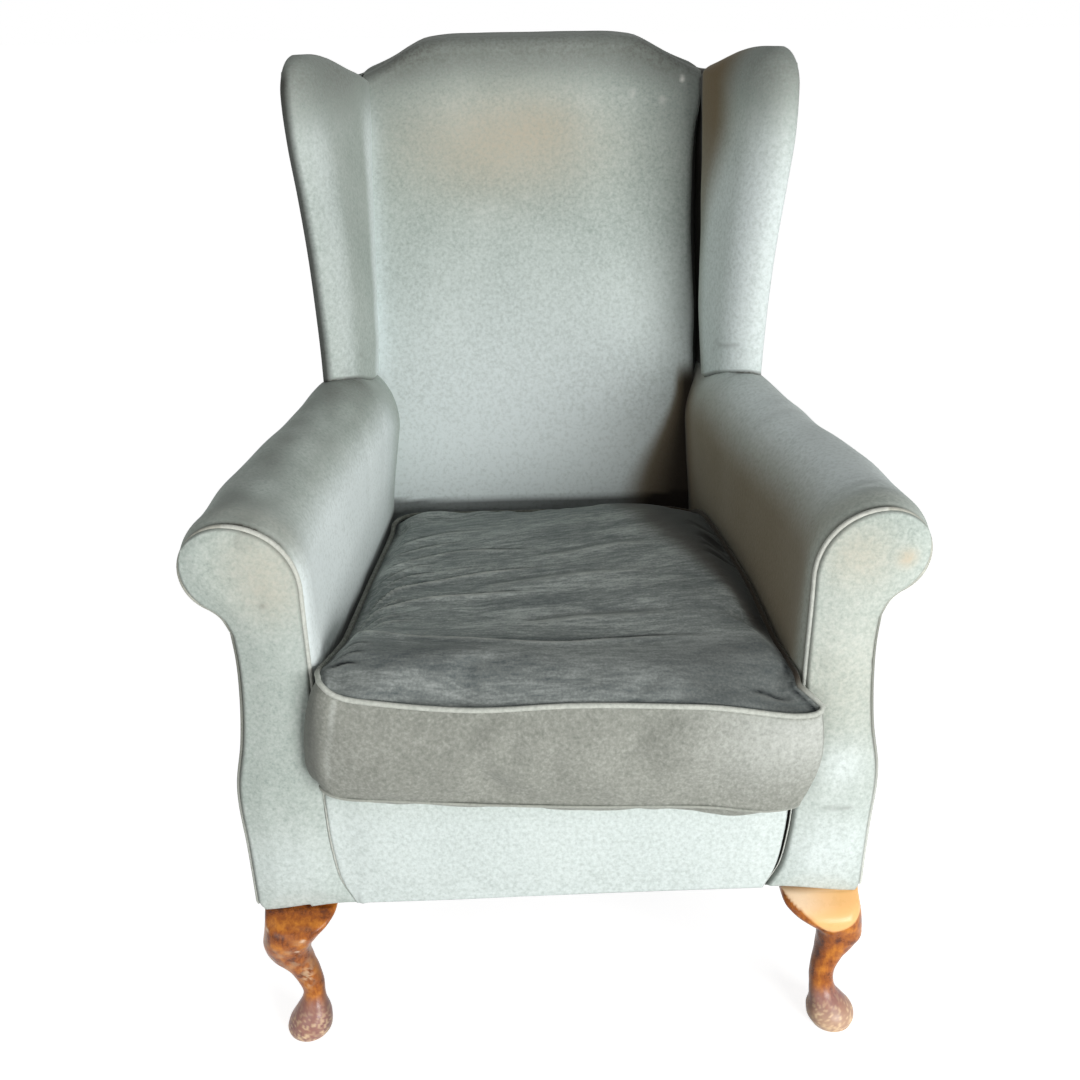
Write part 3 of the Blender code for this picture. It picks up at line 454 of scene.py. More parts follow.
nodeMaterials = {"raw_beech": planedBeech, "stained_beech": stainedBeech, "spring_steel": springSteel,
                 "glide_steel": glideSteel, "jute_webbing": juteWebbing, "deck_cloth": cottonDeckCloth,
                 "dust_cloth": blackBottomingCloth, "velour": cottonVelour,
                 "velour_piping": cottonVelourPiping}
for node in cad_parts.values():
    for materialSlot in node.material_slots:
        slotName = materialSlot.material.name.split(".")[0] if materialSlot.material else ""
        materialSlot.material = nodeMaterials.get(slotName, materialSlot.material)
print("armchair: materials made")


# Arms

armShape = {
    "outer": ((0.3380, 0.172), (0.3415, 0.250), (0.3450, 0.335), (0.3365, 0.385), (0.3320, 0.440),
              (0.3320, 0.490), (0.3345, 0.518)),
    "inner": ((0.2600, 0.500), (0.2585, 0.440), (0.2570, 0.360), (0.2555, 0.306), (0.2515, 0.250),
              (0.2430, 0.205), (0.2280, 0.172)),
    # the roll runs back almost straight, then turns in towards the wing
    "rollY": (0.0, 0.08, 0.15, 0.20, 0.25, 0.29, 0.36, 0.42, 0.46, 0.53, 0.574, 0.66),
    "rollX": {"left": (0.3300, 0.3284, 0.3251, 0.3171, 0.3066, 0.2990,
                       0.2843, 0.2703, 0.2633, 0.2565, 0.2528, 0.2440),
              "right": (0.3305, 0.3325, 0.3261, 0.3175, 0.3065, 0.2965,
                        0.2842, 0.2715, 0.2645, 0.2615, 0.2610, 0.2530)},
    "narrowing": 0.16,  # how much slimmer the roll is where it meets the back
    "lift": {"left": 0.009, "right": 0.006},
    "underScroll": (0.3430, 0.5350),  # where the stem's outer side runs into the scroll
    "padStart": (0.3345, 0.5200), "padThickness": 0.012,
}


def rollCentre(y, side):
    return softInterp(y, armShape["rollY"], armShape["rollX"][side])


def rollScale(y):
    return 1.0 - armShape["narrowing"] * smooth(0.12, 0.60, y)


def rollLift(y, side):
    # the roll swells where the wing stands on it, then drops towards the back
    return armShape["lift"][side] * hump(y, 0.455, 0.06) - 0.020 * smooth(0.47, 0.60, y)


def armX(profileX, profileZ, y, side):
    # carries a point of the facing's outline back along the arm: straight below, bowed along the roll
    share = (profileX - shape["seatHalf"]) / (shape["sideHalf"] - shape["seatHalf"])
    low = mix(innerX(y), outerX(y), share)
    roll = rollCentre(y, side) + rollScale(y) * (profileX - shape["scrollX"])
    return mix(low, roll, smooth(0.43, 0.57, profileZ))


def armTopZ(x, y, side):
    across = (x - rollCentre(y, side)) / rollScale(y)
    outer = shape["scrollZ"] + np.sqrt(np.maximum(shape["scrollRadius"] ** 2 - across ** 2, 0.0))
    rise = np.sqrt(np.maximum(1 - (across / shape["rollWidth"]) ** 2, 0.0))
    inner = shape["rollZ"] + shape["rollHeight"] * rise
    return np.where(across > 0, outer, inner) + rollLift(y, side)


def armInnerX(y, z, side):
    # where the inner side of the arm stands at a height, up to the top of its roll
    z = z - rollLift(y, side) * smooth(0.50, 0.56, z)
    inner = np.array(armShape["inner"])[::-1]
    stem = softInterp(z, inner[:, 1], inner[:, 0])
    up = np.clip((z - shape["rollZ"]) / shape["rollHeight"], 0, 1)
    roll = shape["scrollX"] - shape["rollWidth"] * np.sqrt(1 - up ** 2)
    return armX(mix(stem, roll, smooth(0.490, 0.555, z)), z, y, side)


def scrollArc(start, end, count):
    radius = shape["scrollRadius"]
    return arc(shape["scrollX"], shape["scrollZ"], radius, radius, start, end, count)


def rollArc(start, end, count):
    return arc(shape["scrollX"], shape["rollZ"], shape["rollWidth"], shape["rollHeight"], start, end, count)


def edgeDrop(distance, radius, drop):
    # how far a cover has turned down at a distance from its edge, as a quarter of an ellipse
    near = np.clip(1.0 - distance / radius, 0.0, 1.0)
    return drop * (1.0 - np.sqrt(1.0 - near ** 2))


def sideCover(kind, side, near, far, node, marks):
    # a velour cover of one side of the chair, drawn for the right side
    return shellPiece(kind + side.capitalize(), placed(near, side), placed(far, side), cottonVelour,
                      [node + side], marks)


armPad = {
    "front": 0.0075, "turn": 0.011,  # where the cover comes from under the piping, and how far it turns over
    "lump": 0.0018, "lumpSize": 0.075,
    "rows": 110,
    # creases run round the arm: depth along the arm, side, depth of crease, width, from and to round the roll
    "creases": (("left", 0.375, 0.0012, 0.012, 0.45, 0.75), ("left", 0.455, 0.0016, 0.010, 0.45, 0.75),
                ("right", 0.040, 0.0018, 0.006, 0.25, 0.55), ("right", 0.062, 0.0014, 0.006, 0.30, 0.62),
                ("right", 0.300, 0.0010, 0.014, 0.20, 0.55), ("right", 0.445, 0.0014, 0.010, 0.25, 0.52)),
}


def makeArmPad(side):
    profile = np.concatenate([[armShape["padStart"], armShape["underScroll"]], scrollArc(-62, 89, 34),
                              rollArc(90, 180, 34), smoothPath(armShape["inner"], 60)])
    keep = np.ones(len(profile), bool)
    keep[60:] = profile[60:, 1] > 0.3065
    profile = profile[keep]
    aroundArm = np.linspace(0.0, 1.0, len(profile))[None, :]  # 0 under the scroll, 1 at the deck
    px, pz = profile[:, 0][None, :], profile[:, 1][None, :]
    t = np.concatenate([np.linspace(0.0, 0.05, 14)[:-1], np.linspace(0.05, 1.0, armPad["rows"])])[:, None]
    endX = armX(px, pz, 0.62, side)
    endZ = pz + rollLift(0.62, side) * smooth(0.50, 0.56, pz)
    end = backY(endZ) + mix(0.0445, 0.0850, smooth(0.262, 0.276, endX))
    y = mix(armPad["front"], end, t)
    x = armX(px, pz, y, side)
    z = pz + rollLift(y, side) * smooth(0.50, 0.56, pz)
    points = np.stack([x, y, z], -1)
    normal = normalsOf(points)
    outward = np.array([px.ravel() - shape["scrollX"], np.zeros(px.size), pz.ravel() - 0.50]).T
    normal *= np.sign((normal * outward[None]).sum(-1).mean())
    calm = (1 - smooth(0.36, 0.43, y)) * smooth(0.0, 0.03, y)
    raised = armPad["lump"] * lumps(points, armPad["lumpSize"], 3.1 if side == "left" else 8.7) * calm
    onTop = smooth(0.05, 0.2, aroundArm) * (1 - smooth(0.75, 0.95, aroundArm))
    raised = raised + 0.0025 * hump(y, 0.035, 0.022) * onTop
    # painted shade in the groove behind the front piping, and below in each crease
    dirt = 0.9 * hump(y, armPad["front"], 0.004)
    for creaseSide, at, deep, wide, low, high in armPad["creases"]:
        if creaseSide == side:
            line = at + 0.02 * np.sin(6.0 * aroundArm)
            strength = smooth(low, low + 0.12, aroundArm) * (1 - smooth(high - 0.15, high, aroundArm))
            ridge = 0.5 * hump(y, line + 1.7 * wide, wide)
            raised = raised - deep * strength * (hump(y, line, wide) - ridge)
            dirt = dirt + 0.12 * strength * hump(y, line, wide * 0.6)
    raised = raised - edgeDrop(y - armPad["front"], armPad["turn"], 0.0065)
    near = points + normal * raised[..., None]
    # the roll's rear end is closed by drawing its cover in over the end
    capX, capZ = rollCentre(0.66, side), 0.560
    cap = []
    for share, deeper in ((0.06, 0.003), (0.30, 0.0045), (0.65, 0.005), (0.93, 0.005)):
        ring = near[-1].copy()
        inRoll = smooth(0.50, 0.53, pz.ravel())
        ring[:, 0] = mix(ring[:, 0], mix(ring[:, 0], capX, share), inRoll)
        upward = np.where(ring[:, 2] < capZ, 0.15 * share, share)
        ring[:, 2] = mix(ring[:, 2], mix(ring[:, 2], capZ, upward), inRoll)
        ring[:, 1] = mix(ring[:, 1], np.minimum(ring[:, 1], backY(ring[:, 2]) + 0.0850), inRoll) + deeper
        cap.append(ring)
    far = near - normal * armShape["padThickness"]
    far[..., 1] = near[..., 1]
    near = np.concatenate([near, np.array(cap)])
    farCap = np.array([far[-1] + (ring - near[len(y) - 1]) * 0.9 for ring in cap])
    farCap[..., 1] = far[-1, :, 1][None] - 0.002
    far = np.concatenate([far, farCap])
    extra = np.zeros((len(cap), near.shape[1]))
    patches = np.clip(0.5 + lumps(points * (1.0, 0.6, 1.0), 0.030, 31.0 if side == "left" else 37.0), 0, 1)
    onRoll = hump(aroundArm, 0.36, 0.16)  # the outer half of the roll, where forearms rest
    if side == "left":
        dirt = dirt + 0.42 * onRoll * patches + 0.34 * hump(y, 0.47, 0.07) * hump(aroundArm, 0.42, 0.2)
        dirt = dirt * (1 - 0.85 * smooth(0.48, 0.60, aroundArm))
        # painted light on the inner side, which faces the lamp
        rubbedAndLit = 1.0 * smooth(0.50, 0.66, aroundArm) * (1 - smooth(0.47, 0.58, y))
        # painted shade, brown, under the outer side of the scroll
        grime = 0.25 * hump(aroundArm, 0.08, 0.10) * patches + 0 * y
        # painted shade: a dark line where the cushion lies against it
        cushionTop = softInterp(y, (0.0, 0.05, 0.10, 0.20, 0.30, 0.50),
                                (0.468, 0.459, 0.449, 0.438, 0.434, 0.429))
        soil = 0.90 * (1 - smooth(-0.002, 0.006, z - cushionTop)) * smooth(0.0, 0.03, y)
    else:
        dirt = dirt + 0.06 * onRoll * patches + 0.08 * hump(y, 0.47, 0.07) * hump(aroundArm, 0.40, 0.2)
        rubbedAndLit = 0.95 * hump(aroundArm, 0.38, 0.18) * smooth(0.02, 0.10, y) * (1 - 0.4 * smooth(0.35, 0.47, y))
        # the inner side is painted dark brown as shade, most of it low at the back
        grime = 0.88 * smooth(0.40, 0.68, aroundArm) * smooth(-0.01, 0.05, y) + 0.35 * hump(y, 0.60, 0.06)
        # and painted darkest low down towards the back
        soil = 0.22 * smooth(0.66, 0.86, aroundArm) + 0.70 * smooth(0.86, 0.97, aroundArm)
        soil = soil * smooth(0.10, 0.50, y)
        soil = soil + 0.6 * smooth(-0.03, 0.0, y - end + 0.045)
        soil = soil * smooth(0.45, 0.60, aroundArm)
    # the closed rear end of each roll is painted in shade, deepest at the right
    marks = {"dirt": np.concatenate([dirt, extra + 0.3]),
             "grime": np.concatenate([grime, extra + (0.9 if side == "right" else 0.1)]),
             "soil": np.concatenate([soil, extra + (0.9 if side == "right" else 0.0)]),
             "bleach": np.concatenate([np.broadcast_to(rubbedAndLit, y.shape), extra]),
             "sun": np.concatenate([0.15 * np.broadcast_to(hump(y, 0.03, 0.03), y.shape)
                                    * hump(aroundArm, 0.45, 0.25), extra])}
    pad = sideCover("armPad", side, near, far, "inside_arm_", marks)


def makeArmPanel(side):
    outer = smoothPath(armShape["outer"], 70)
    px, pz = outer[:, 0][None, :], outer[:, 1][None, :]
    t = np.concatenate([np.linspace(0.0, 0.04, 8)[:-1], np.linspace(0.04, 0.97, 70)[:-1],
                        np.linspace(0.97, 1.0, 8)])[:, None]
    y = mix(0.0090, backY(pz) + 0.0910, t)
    x = armX(px, pz, y, side)
    z = np.broadcast_to(pz, y.shape)
    points = np.stack([x, y, z], -1)
    length = backY(pz) + 0.0820
    edge = np.minimum(np.minimum(y - 0.0090, length * (1 - t)), pz - shape["railBottom"] + 0.001)
    bulge = 0.0025 * smooth(0.0, 0.06, edge) - edgeDrop(edge, 0.006, 0.004)
    bulge = bulge + 0.0012 * lumps(points, 0.11, 21.0 if side == "left" else 34.0)
    near = points + np.array([1.0, 0.0, 0.0]) * bulge[..., None]
    far = points - np.array([0.004, 0.0, 0.0])
    # painted shade along its seams, darker along the bottom, and a painted highlight along its fullest part
    dirt = 0.8 * hump(edge, 0.0, 0.0022) + 0.35 * hump(z, shape["railBottom"], 0.03)
    panel = sideCover("armPanel", side, near, far, "outside_arm_",
                      {"dirt": dirt, "bleach": 0.35 * hump(z, 0.335, 0.03)})


facing = {
    "edgeIn": 0.0032, "crown": 0.0045, "crownFrom": 0.030, "turn": 0.0050, "front": -0.0020,
    "hemRise": 0.0055, "hemDrop": 0.0095,  # the lower edge runs down from the middle of the chair outwards
    "stemRows": 90, "headRows": 80, "columns": 40, "tipAngle": 28,
    "piping": 0.0030, "stemPiping": 0.0019, "footPiping": 0.0012, "pipingY": 0.0050,
}


def facingPaths():
    tip = facing["tipAngle"]
    outerStem = smoothPath(armShape["outer"], facing["stemRows"])
    innerStem = smoothPath(armShape["inner"][::-1], facing["stemRows"])
    outerHead = np.concatenate([outerStem[-1:], [armShape["underScroll"]], scrollArc(-62, tip, 30)])
    innerHead = np.concatenate([innerStem[-1:], rollArc(180, 90, 30), scrollArc(89, tip + 1, 24)])
    outer = np.concatenate([outerStem, smoothPath(outerHead, facing["headRows"])[1:]])
    inner = np.concatenate([innerStem, smoothPath(innerHead, facing["headRows"])[1:]])
    return outer, inner


facingMarks = {
    # side: x and z of each mark, its radius, kind and strength, seen on the front of the arm
    # the pale marks low on each facing are painted light, where the lower front is most lit
    "left": ((0.300, 0.605, 0.040, "sun", 0.30), (0.290, 0.560, 0.035, "sun", 0.28),
             (0.310, 0.6226, 0.009, "dirt", 0.12), (0.2996, 0.5523, 0.0035, "dirt", 0.35),
             (0.300, 0.450, 0.160, "dirt", 0.13), (0.296, 0.225, 0.055, "bleach", 0.42)),
    "right": ((0.305, 0.590, 0.035, "sun", 0.38), (0.3532, 0.5864, 0.010, "sun", 0.75),
              (0.300, 0.450, 0.110, "sun", 0.22), (0.303, 0.341, 0.030, "bleach", 0.48),
              (0.300, 0.225, 0.060, "bleach", 0.56)),
}


def hemShift(x, z):
    return (facing["hemRise"] - facing["hemDrop"] * smooth(0.24, 0.335, x)) * (1 - smooth(0.172, 0.215, z))


def makeFacing(side):
    outer, inner = facingPaths()
    half = np.linalg.norm(outer - inner, axis=1)[:, None] / 2
    c = clustered(-1.0, 1.0, facing["columns"], 0.6)[None, :]
    keep = np.clip(1.0 - facing["edgeIn"] / np.maximum(half, 1e-4), 0.05, 1.0)
    across = 0.5 + 0.5 * c * keep
    flat = outer[:, None, :] + (inner - outer)[:, None, :] * across[..., None]
    x, z = flat[..., 0], flat[..., 1]
    edge = np.minimum(half * (1 - np.abs(c) * keep) - facing["edgeIn"], z - shape["railBottom"])
    z = z + hemShift(x, z)
    edge = np.maximum(edge, 0.0)
    front = facing["front"] - facing["crown"] * smooth(0.0, facing["crownFrom"], edge)
    innerStem = (1 - smooth(0.30, 0.36, z)) * (c > 0)
    pulled = 0.9 if side == "left" else 0.0  # the left facing is pulled flat beside the seat border
    front = front + edgeDrop(edge, facing["turn"], 0.0075) * (1 - pulled * innerStem)
    base = np.stack([x, np.zeros_like(x), z], -1)
    front = front + 0.0008 * lumps(base, 0.05, 5.0 if side == "left" else 9.5) * smooth(0.0, 0.02, edge)
    # painted shade along the edge, where the cover turns in under the piping
    dirt = 0.50 * hump(edge, 0.0, 0.0022) * (1 - 1.1 * pulled * innerStem)
    marks = {"dirt": dirt, "sun": np.zeros_like(x), "bleach": np.zeros_like(x)}
    for markX, markZ, radius, kind, strength in facingMarks[side]:
        spot = hump(np.hypot(x - markX, z - markZ), 0.0, radius)
        marks[kind] = marks[kind] + strength * spot
    if side == "right":
        # an old fold across the stem, curving up to the outer edge
        fold = softInterp(x, (0.255, 0.2665, 0.3099, 0.3323, 0.350), (0.500, 0.4952, 0.4761, 0.4599, 0.445))
        along = smooth(0.270, 0.290, x)
        front = front + 0.0016 * along * (hump(z, fold, 0.004) - 0.6 * hump(z, fold - 0.008, 0.005))
        pinch = hump(z, 0.286, 0.0025) * smooth(0.281, 0.290, x) * (1 - smooth(0.312, 0.322, x))
        front = front + 0.0012 * pinch
        # painted shade in the pinch
        marks["dirt"] = marks["dirt"] + 0.35 * pinch
    else:
        ring = hump(np.hypot(x - 0.3102, z - 0.6226), 0.008, 0.0022)  # a pulled thread has left a small ring
        front = front + 0.0005 * ring
        # painted shade on the outer side of the ring
        marks["dirt"] = marks["dirt"] + 0.16 * ring * smooth(-0.010, 0.012, x - 0.305)
    near = np.stack([x, front, z], -1)
    far = np.stack([x, np.full_like(x, shape["facingBack"]), z], -1)
    pad = sideCover("armFacing", side, near, far, "arm_facing_", marks)
    # the piping is full round the scroll and pulled almost flat down the outside and at the foot
    path = smoothPath(np.concatenate([outer[2:], inner[::-1][:-2]]), 420)
    steps = np.arange(420)
    onOuter = (steps < np.argmax(path[:, 1])).astype(float)
    thick = mix(facing["piping"], facing["stemPiping"], onOuter * (1 - smooth(0.50, 0.56, path[:, 1])))
    thick = mix(thick, facing["footPiping"], (1 - onOuter) * (1 - smooth(0.30, 0.345, path[:, 1])))
    step = np.gradient(path, axis=0)
    step /= np.linalg.norm(step, axis=1, keepdims=True)
    path = path + np.stack([-step[:, 1], step[:, 0]], -1) * thick[:, None]
    height = path[:, 1] + hemShift(path[:, 0], path[:, 1])
    # beside the seat border it lies level with the cover at the left, and deep in the open joint at the right
    atFoot = (1 - onOuter) * (1 - smooth(0.30, 0.33, height))
    deep = facing["pipingY"] - (0.0056 * atFoot if side == "left" else 0.0)
    thick = thick + (0.0004 * atFoot if side == "left" else 0.0)
    line = np.stack([path[:, 0], deep + 0.0004 * np.sin(steps * 0.11), height], -1)
    upStem = smooth(0.32, 0.42, height)
    pale = (0.42 if side == "left" else 0.75) * (1 - upStem) + 0.45 * upStem * (1 - onOuter)
    inJoint = pipePoints(line, 1.0)[..., 0] - line[:, None, 0] < -0.2
    inJoint = (inJoint * atFoot[:, None] * (side == "right")).ravel()
    dirt = 0.45 * onOuter * (1 - smooth(0.50, 0.55, height)) * smooth(0.20, 0.4, height)
    # painted shade, near black, on the piping deep in the open joint at the right
    pipeMarks = {"bleach": np.repeat(pale, 10), "soil": 0.95 * inJoint, "dirt": np.repeat(dirt, 10),
                 "sun": np.repeat(0.15 * smooth(0.5, 0.6, height), 10)}
    pipePiece("armPiping" + side.capitalize(), placed(line, side), thick, cottonVelourPiping,
              ["arm_piping_" + side], marks=pipeMarks)


for armSide in ("left", "right"):
    makeArmPad(armSide)
    makeArmPanel(armSide)
    makeFacing(armSide)
print("armchair: arms upholstered")


# Back

backPad = {
    # half widths between the wings by height; the left side touches its wing, the right side stands off
    "edgeZ": (0.600, 0.660, 0.700, 0.750, 0.830, 0.880, 0.930, 0.965, 0.985, 1.040),
    "edgeX": {"left": (0.2250, 0.2255, 0.2258, 0.2260, 0.2260, 0.2260, 0.2262, 0.2268, 0.2280, 0.2300),
              "right": (0.2165, 0.2165, 0.2185, 0.2168, 0.2152, 0.2172, 0.2200, 0.2245, 0.2290, 0.2350)},
    "press": {"left": 0.004, "right": 0.006},  # how far it is pressed into the arms
    # how round the long edges are, and how far they go back
    "sideTurn": (0.002, 0.009), "sideDepth": (0.022, 0.046),
    "crown": 0.016, "topTurn": 0.017, "lump": 0.0022, "lumpSize": 0.13,
    "columns": 96, "rows": 130,
}


def makeBackPad():
    core = np.linspace(-1.0, 1.0, backPad["columns"])
    angle = np.radians(np.linspace(0, 90, 9))[1:]
    # across the pad: left wall, left turn, the middle, right turn, right wall
    left, right = backPad["sideTurn"]
    share = np.concatenate([-np.ones(10), core, np.ones(10)])
    flat = np.zeros(len(core))
    addX = np.concatenate([[-left, -left], -left * np.sin(angle[::-1]), flat, right * np.sin(angle),
                           [right, right + 0.012]])
    leftDeep, rightDeep = backPad["sideDepth"]
    addY = np.concatenate([[left + leftDeep, left + 0.008], left * (1 - np.cos(angle[::-1])), flat,
                           right * (1 - np.cos(angle)), [right + 0.008, rightDeep]])
    # up the pad: t to 1 is the front face, past 1 it turns over the crest and runs back
    t = np.concatenate([np.linspace(0.0, 1.0, backPad["rows"]), 1.0 + np.linspace(0.0, 1.0, 26)[1:]])[:, None]
    low = 0.3065
    top = backPad["topTurn"]
    firstZ = mix(low, 1.02, np.clip(t, 0, 1))
    edges = []
    for side, turned in (("left", left), ("right", right)):
        between = armInnerX(backY(firstZ) + 0.004, firstZ, side) + backPad["press"][side]
        wide = softInterp(firstZ, backPad["edgeZ"], backPad["edgeX"][side])
        lowEdge = np.where(firstZ < 0.610, between, 1.0)
        edges.append(np.minimum(lowEdge, wide) - turned)
    x = mix(-edges[0], edges[1], (share[None, :] + 1) / 2) + addX[None, :]
    zc = crestZ(x)
    over = np.clip(t - 1.0, 0.0, 1.0)
    bend = np.clip(over / 0.45, 0.0, 1.0) * math.pi / 2
    z = mix(low, zc - top, np.clip(t, 0, 1)) + top * np.sin(bend)
    runBack = np.clip((over - 0.45) / 0.55, 0.0, 1.0)
    topDepth = top * 1.3 * (1 - np.cos(bend)) + runBack * (0.0905 - top * 1.3)
    z = z - 0.001 * runBack - edgeDrop((1 - runBack) * 0.06, 0.006, 0.002)
    crown = backPad["crown"] * np.sin(math.pi * np.clip((z - 0.30) / 0.74, 0, 1)) ** 0.8
    crown = crown * (1 - np.abs(x / 0.222) ** 4)
    y = backY(np.minimum(z, zc - top)) - crown + topDepth + addY[None, :] * (1 - 0.75 * runBack)
    # behind the wings the cover spreads out over the tops of the posts
    widest = np.abs(x).max(1, keepdims=True)
    behind = smooth(0.049, 0.055, topDepth)
    x = x + np.sign(x) * np.maximum(0.2590 - widest, 0) * smooth(0.70, 1.0, np.abs(x) / widest) * behind
    z = z - 0.010 * behind * smooth(0.222, 0.250, np.abs(x))
    z[:, [0, -1]] -= 0.016 * behind[:, [0, -1]]
    points = np.stack([x, y, z], -1)
    raised = backPad["lump"] * lumps(points, backPad["lumpSize"], 1.7)
    calm = smooth(0.31, 0.40, z) * (1 - smooth(0.0, 0.5, over))
    y = y - raised * calm
    near = np.stack([x, y, z], -1)
    farZ = np.minimum(z, zc - 0.0118)
    far = np.stack([x * 0.985, np.maximum(backY(farZ) + 0.055, y), farZ], -1)
    # a broad tan patch where heads have rested, painted shade on the dull green above it, painted light
    # towards the seat
    sun = 0.62 * hump(x, -0.046, 0.135) * hump(z, 0.908, 0.066)
    sun = sun + 0.18 * hump(x, 0.018, 0.050) * hump(z, 0.932, 0.034)
    dirt = 0.62 * smooth(0.955, 1.03, z) + 0.20 * smooth(0.85, 1.0, z) * smooth(0.10, 0.20, np.abs(x))
    # painted shade low on the right
    dirt = dirt + 0.08 * smooth(0.14, 0.215, x) * smooth(0.45, 0.6, z)
    dirt = dirt * (1 - 0.7 * np.clip(sun, 0, 1))
    # painted shade where the cover runs back over the crest
    dirt = dirt + 0.7 * smooth(0.93, 1.0, runBack)
    # painted shade, dark brown, by the right arm, widest at the seat, and down the joint by the right wing
    reach = mix(0.085, 0.016, smooth(0.43, 0.60, z))
    fromArm = 0.207 - x
    byArm = (1 - smooth(0.590, 0.625, z)) * (x > 0)
    inJoint = smooth(0.004, 0.02, addY[None, :]) * smooth(0.0, 0.1, share)[None, :] * (1 - runBack)
    grime = 0.90 * (1 - smooth(0.7 * reach, 1.3 * reach, fromArm)) * byArm + inJoint
    soil = 0.92 * (1 - smooth(0.15 * reach, 0.95 * reach, fromArm)) * byArm + 0.95 * inJoint
    soil = soil + 0.75 * (1 - smooth(0.4420, 0.4480, z))  # painted shade: a dark line behind the cushion
    bleach = (1 - smooth(0.50, 0.88, z)) * (1 - 0.06 * smooth(0.10, 0.20, x))
    # painted light down the left edge, in the lit joint with the left wing
    bleach = bleach + 0.45 * hump(x, -0.222, 0.016) * (1 - smooth(0.92, 0.99, z))
    lint = np.zeros_like(x)
    for speckX, speckZ, size in ((0.2051, 0.984, 0.0028), (0.1354, 0.968, 0.0022), (0.1775, 0.958, 0.0026)):
        lint = lint + hump(np.hypot(x - speckX, (z - speckZ) * 0.7), 0.0, size)
    marks = {"sun": sun, "dirt": dirt, "bleach": bleach, "grime": grime, "soil": soil,
             "lint": lint * (y < 0.8)}
    pad = shellPiece("backPad", near, far, cottonVelour, ["inside_back"], marks)


def makeBackPanel():
    t = clustered(0.0, 1.0, 90, 0.5)[:, None]
    share = clustered(-1.0, 1.0, 70, 0.6)[None, :]
    firstZ = mix(shape["railBottom"], 1.04, t)
    # it reaches out over the rear edges of the arm panels, the ends of the rolls and the wing panels
    outer = smoothPath(armShape["outer"], 70)
    edgeX = np.interp(firstZ, outer[:, 1], outer[:, 0])
    armEdge = [armX(edgeX, firstZ, backY(firstZ) + 0.09, side) for side in ("left", "right")]
    half = mix(np.minimum(*armEdge) + 0.0005, 0.2605, smooth(0.505, 0.530, firstZ))
    x = share * half
    z = mix(shape["railBottom"], crestZ(x) - 0.0012, t)
    edge = np.minimum(np.minimum(half * (1 - np.abs(share)), z - shape["railBottom"]), crestZ(x) - z)
    y = backY(z) + 0.0955 + 0.003 * smooth(0.0, 0.12, edge) - edgeDrop(edge, 0.006, 0.0035)
    points = np.stack([x, y, z], -1)
    y = y + 0.0016 * lumps(points, 0.16, 44.0) * smooth(0.0, 0.05, edge)
    near = np.stack([x, y, z], -1)
    far = np.stack([x, backY(z) + 0.0915 + 0 * x, z], -1)
    # painted shade along its seams, darker along the bottom
    dirt = 0.8 * hump(edge, 0.0, 0.0022) + 0.3 * hump(z, shape["railBottom"], 0.03)
    panel = shellPiece("backPanel", near, far, cottonVelour, ["outside_back"], {"dirt": dirt})


makeBackPad()
makeBackPanel()
print("armchair: back upholstered")


# Wings

wing = {
    "thick": {"left": 0.043, "right": 0.048},
    "rootX": 0.2222, "root": 0.80, "backX": 0.2595, "frontY": 0.450,
    "frontZ": (0.620, 0.690, 0.740, 0.800, 0.880, 0.940, 0.990, 1.045),
    "frontX": {"left": (0.2825, 0.2840, 0.2865, 0.2905, 0.2990, 0.3070, 0.3110, 0.3100),
               "right": (0.2860, 0.2890, 0.2925, 0.2985, 0.3100, 0.3185, 0.3210, 0.3200)},
    "footZ": 0.645, "height": 0.360,
    "topS": (0.0, 0.10, 0.20, 0.35, 0.60, 0.80, 1.0, 1.2),
    "topZ": (1.0400, 1.0415, 1.0400, 1.0335, 1.0120, 0.9975, 0.9900, 0.9860),
    "cornerRadius": 0.042, "innerTurn": 0.050, "rootTurn": 0.014, "outerTurn": 0.014, "seamTurn": 0.012,
    "split": 0.72, "crown": {"left": 0.007, "right": 0.010},
    # the right pad stands off from the back, the left one is pressed to it
    "groove": {"left": -0.003, "right": 0.011},
    "length": 0.250, "tall": 0.380,
    # short creases just above the arm: height above it, depth, width, and where each begins and stops
    "creases": {"left": ((0.030, 0.0016, 0.0030, 0.16, 0.45), (0.0095, 0.0010, 0.0022, 0.05, 0.30)),
                "right": ((0.034, 0.0018, 0.0030, 0.05, 0.42), (0.042, 0.0010, 0.0026, 0.10, 0.35))},
}


def wingPlace(s, d, z, side):
    # s runs from the front edge back, d from the inner face to the outer face
    height = (z - wing["footZ"]) / wing["height"]
    frontX = softInterp(z, wing["frontZ"], wing["frontX"][side])
    frontY = wing["frontY"] + 0.02 * height * height
    rootY = backY(z)
    rearY = rootY + 0.054
    toRoot = np.clip(s / wing["root"], 0, 1)
    behind = np.clip((s - wing["root"]) / (1 - wing["root"]), 0, 1.6)
    innerSide = np.stack([mix(frontX - wing["thick"][side], wing["rootX"], toRoot),
                          mix(frontY, rootY, toRoot) + behind * 0.054, z], -1)
    toRear, past = np.minimum(s, 1), np.clip((s - 1) / 0.13, 0, 1)
    outerSide = np.stack([mix(frontX, wing["backX"], toRear),
                          mix(frontY, rearY, toRear) + 0.0365 * past, z], -1)
    return mix(innerSide, outerSide, d[..., None] if np.ndim(d) else d)


def wingTop(s):
    return softInterp(s, wing["topS"], wing["topZ"])


def wingSteps(turn, atEdge, reach, beyond):
    # close steps round the edge, wider ones across the wing
    return np.concatenate([np.linspace(turn, 0.040, atEdge), np.linspace(0.040, reach, beyond)[1:]])


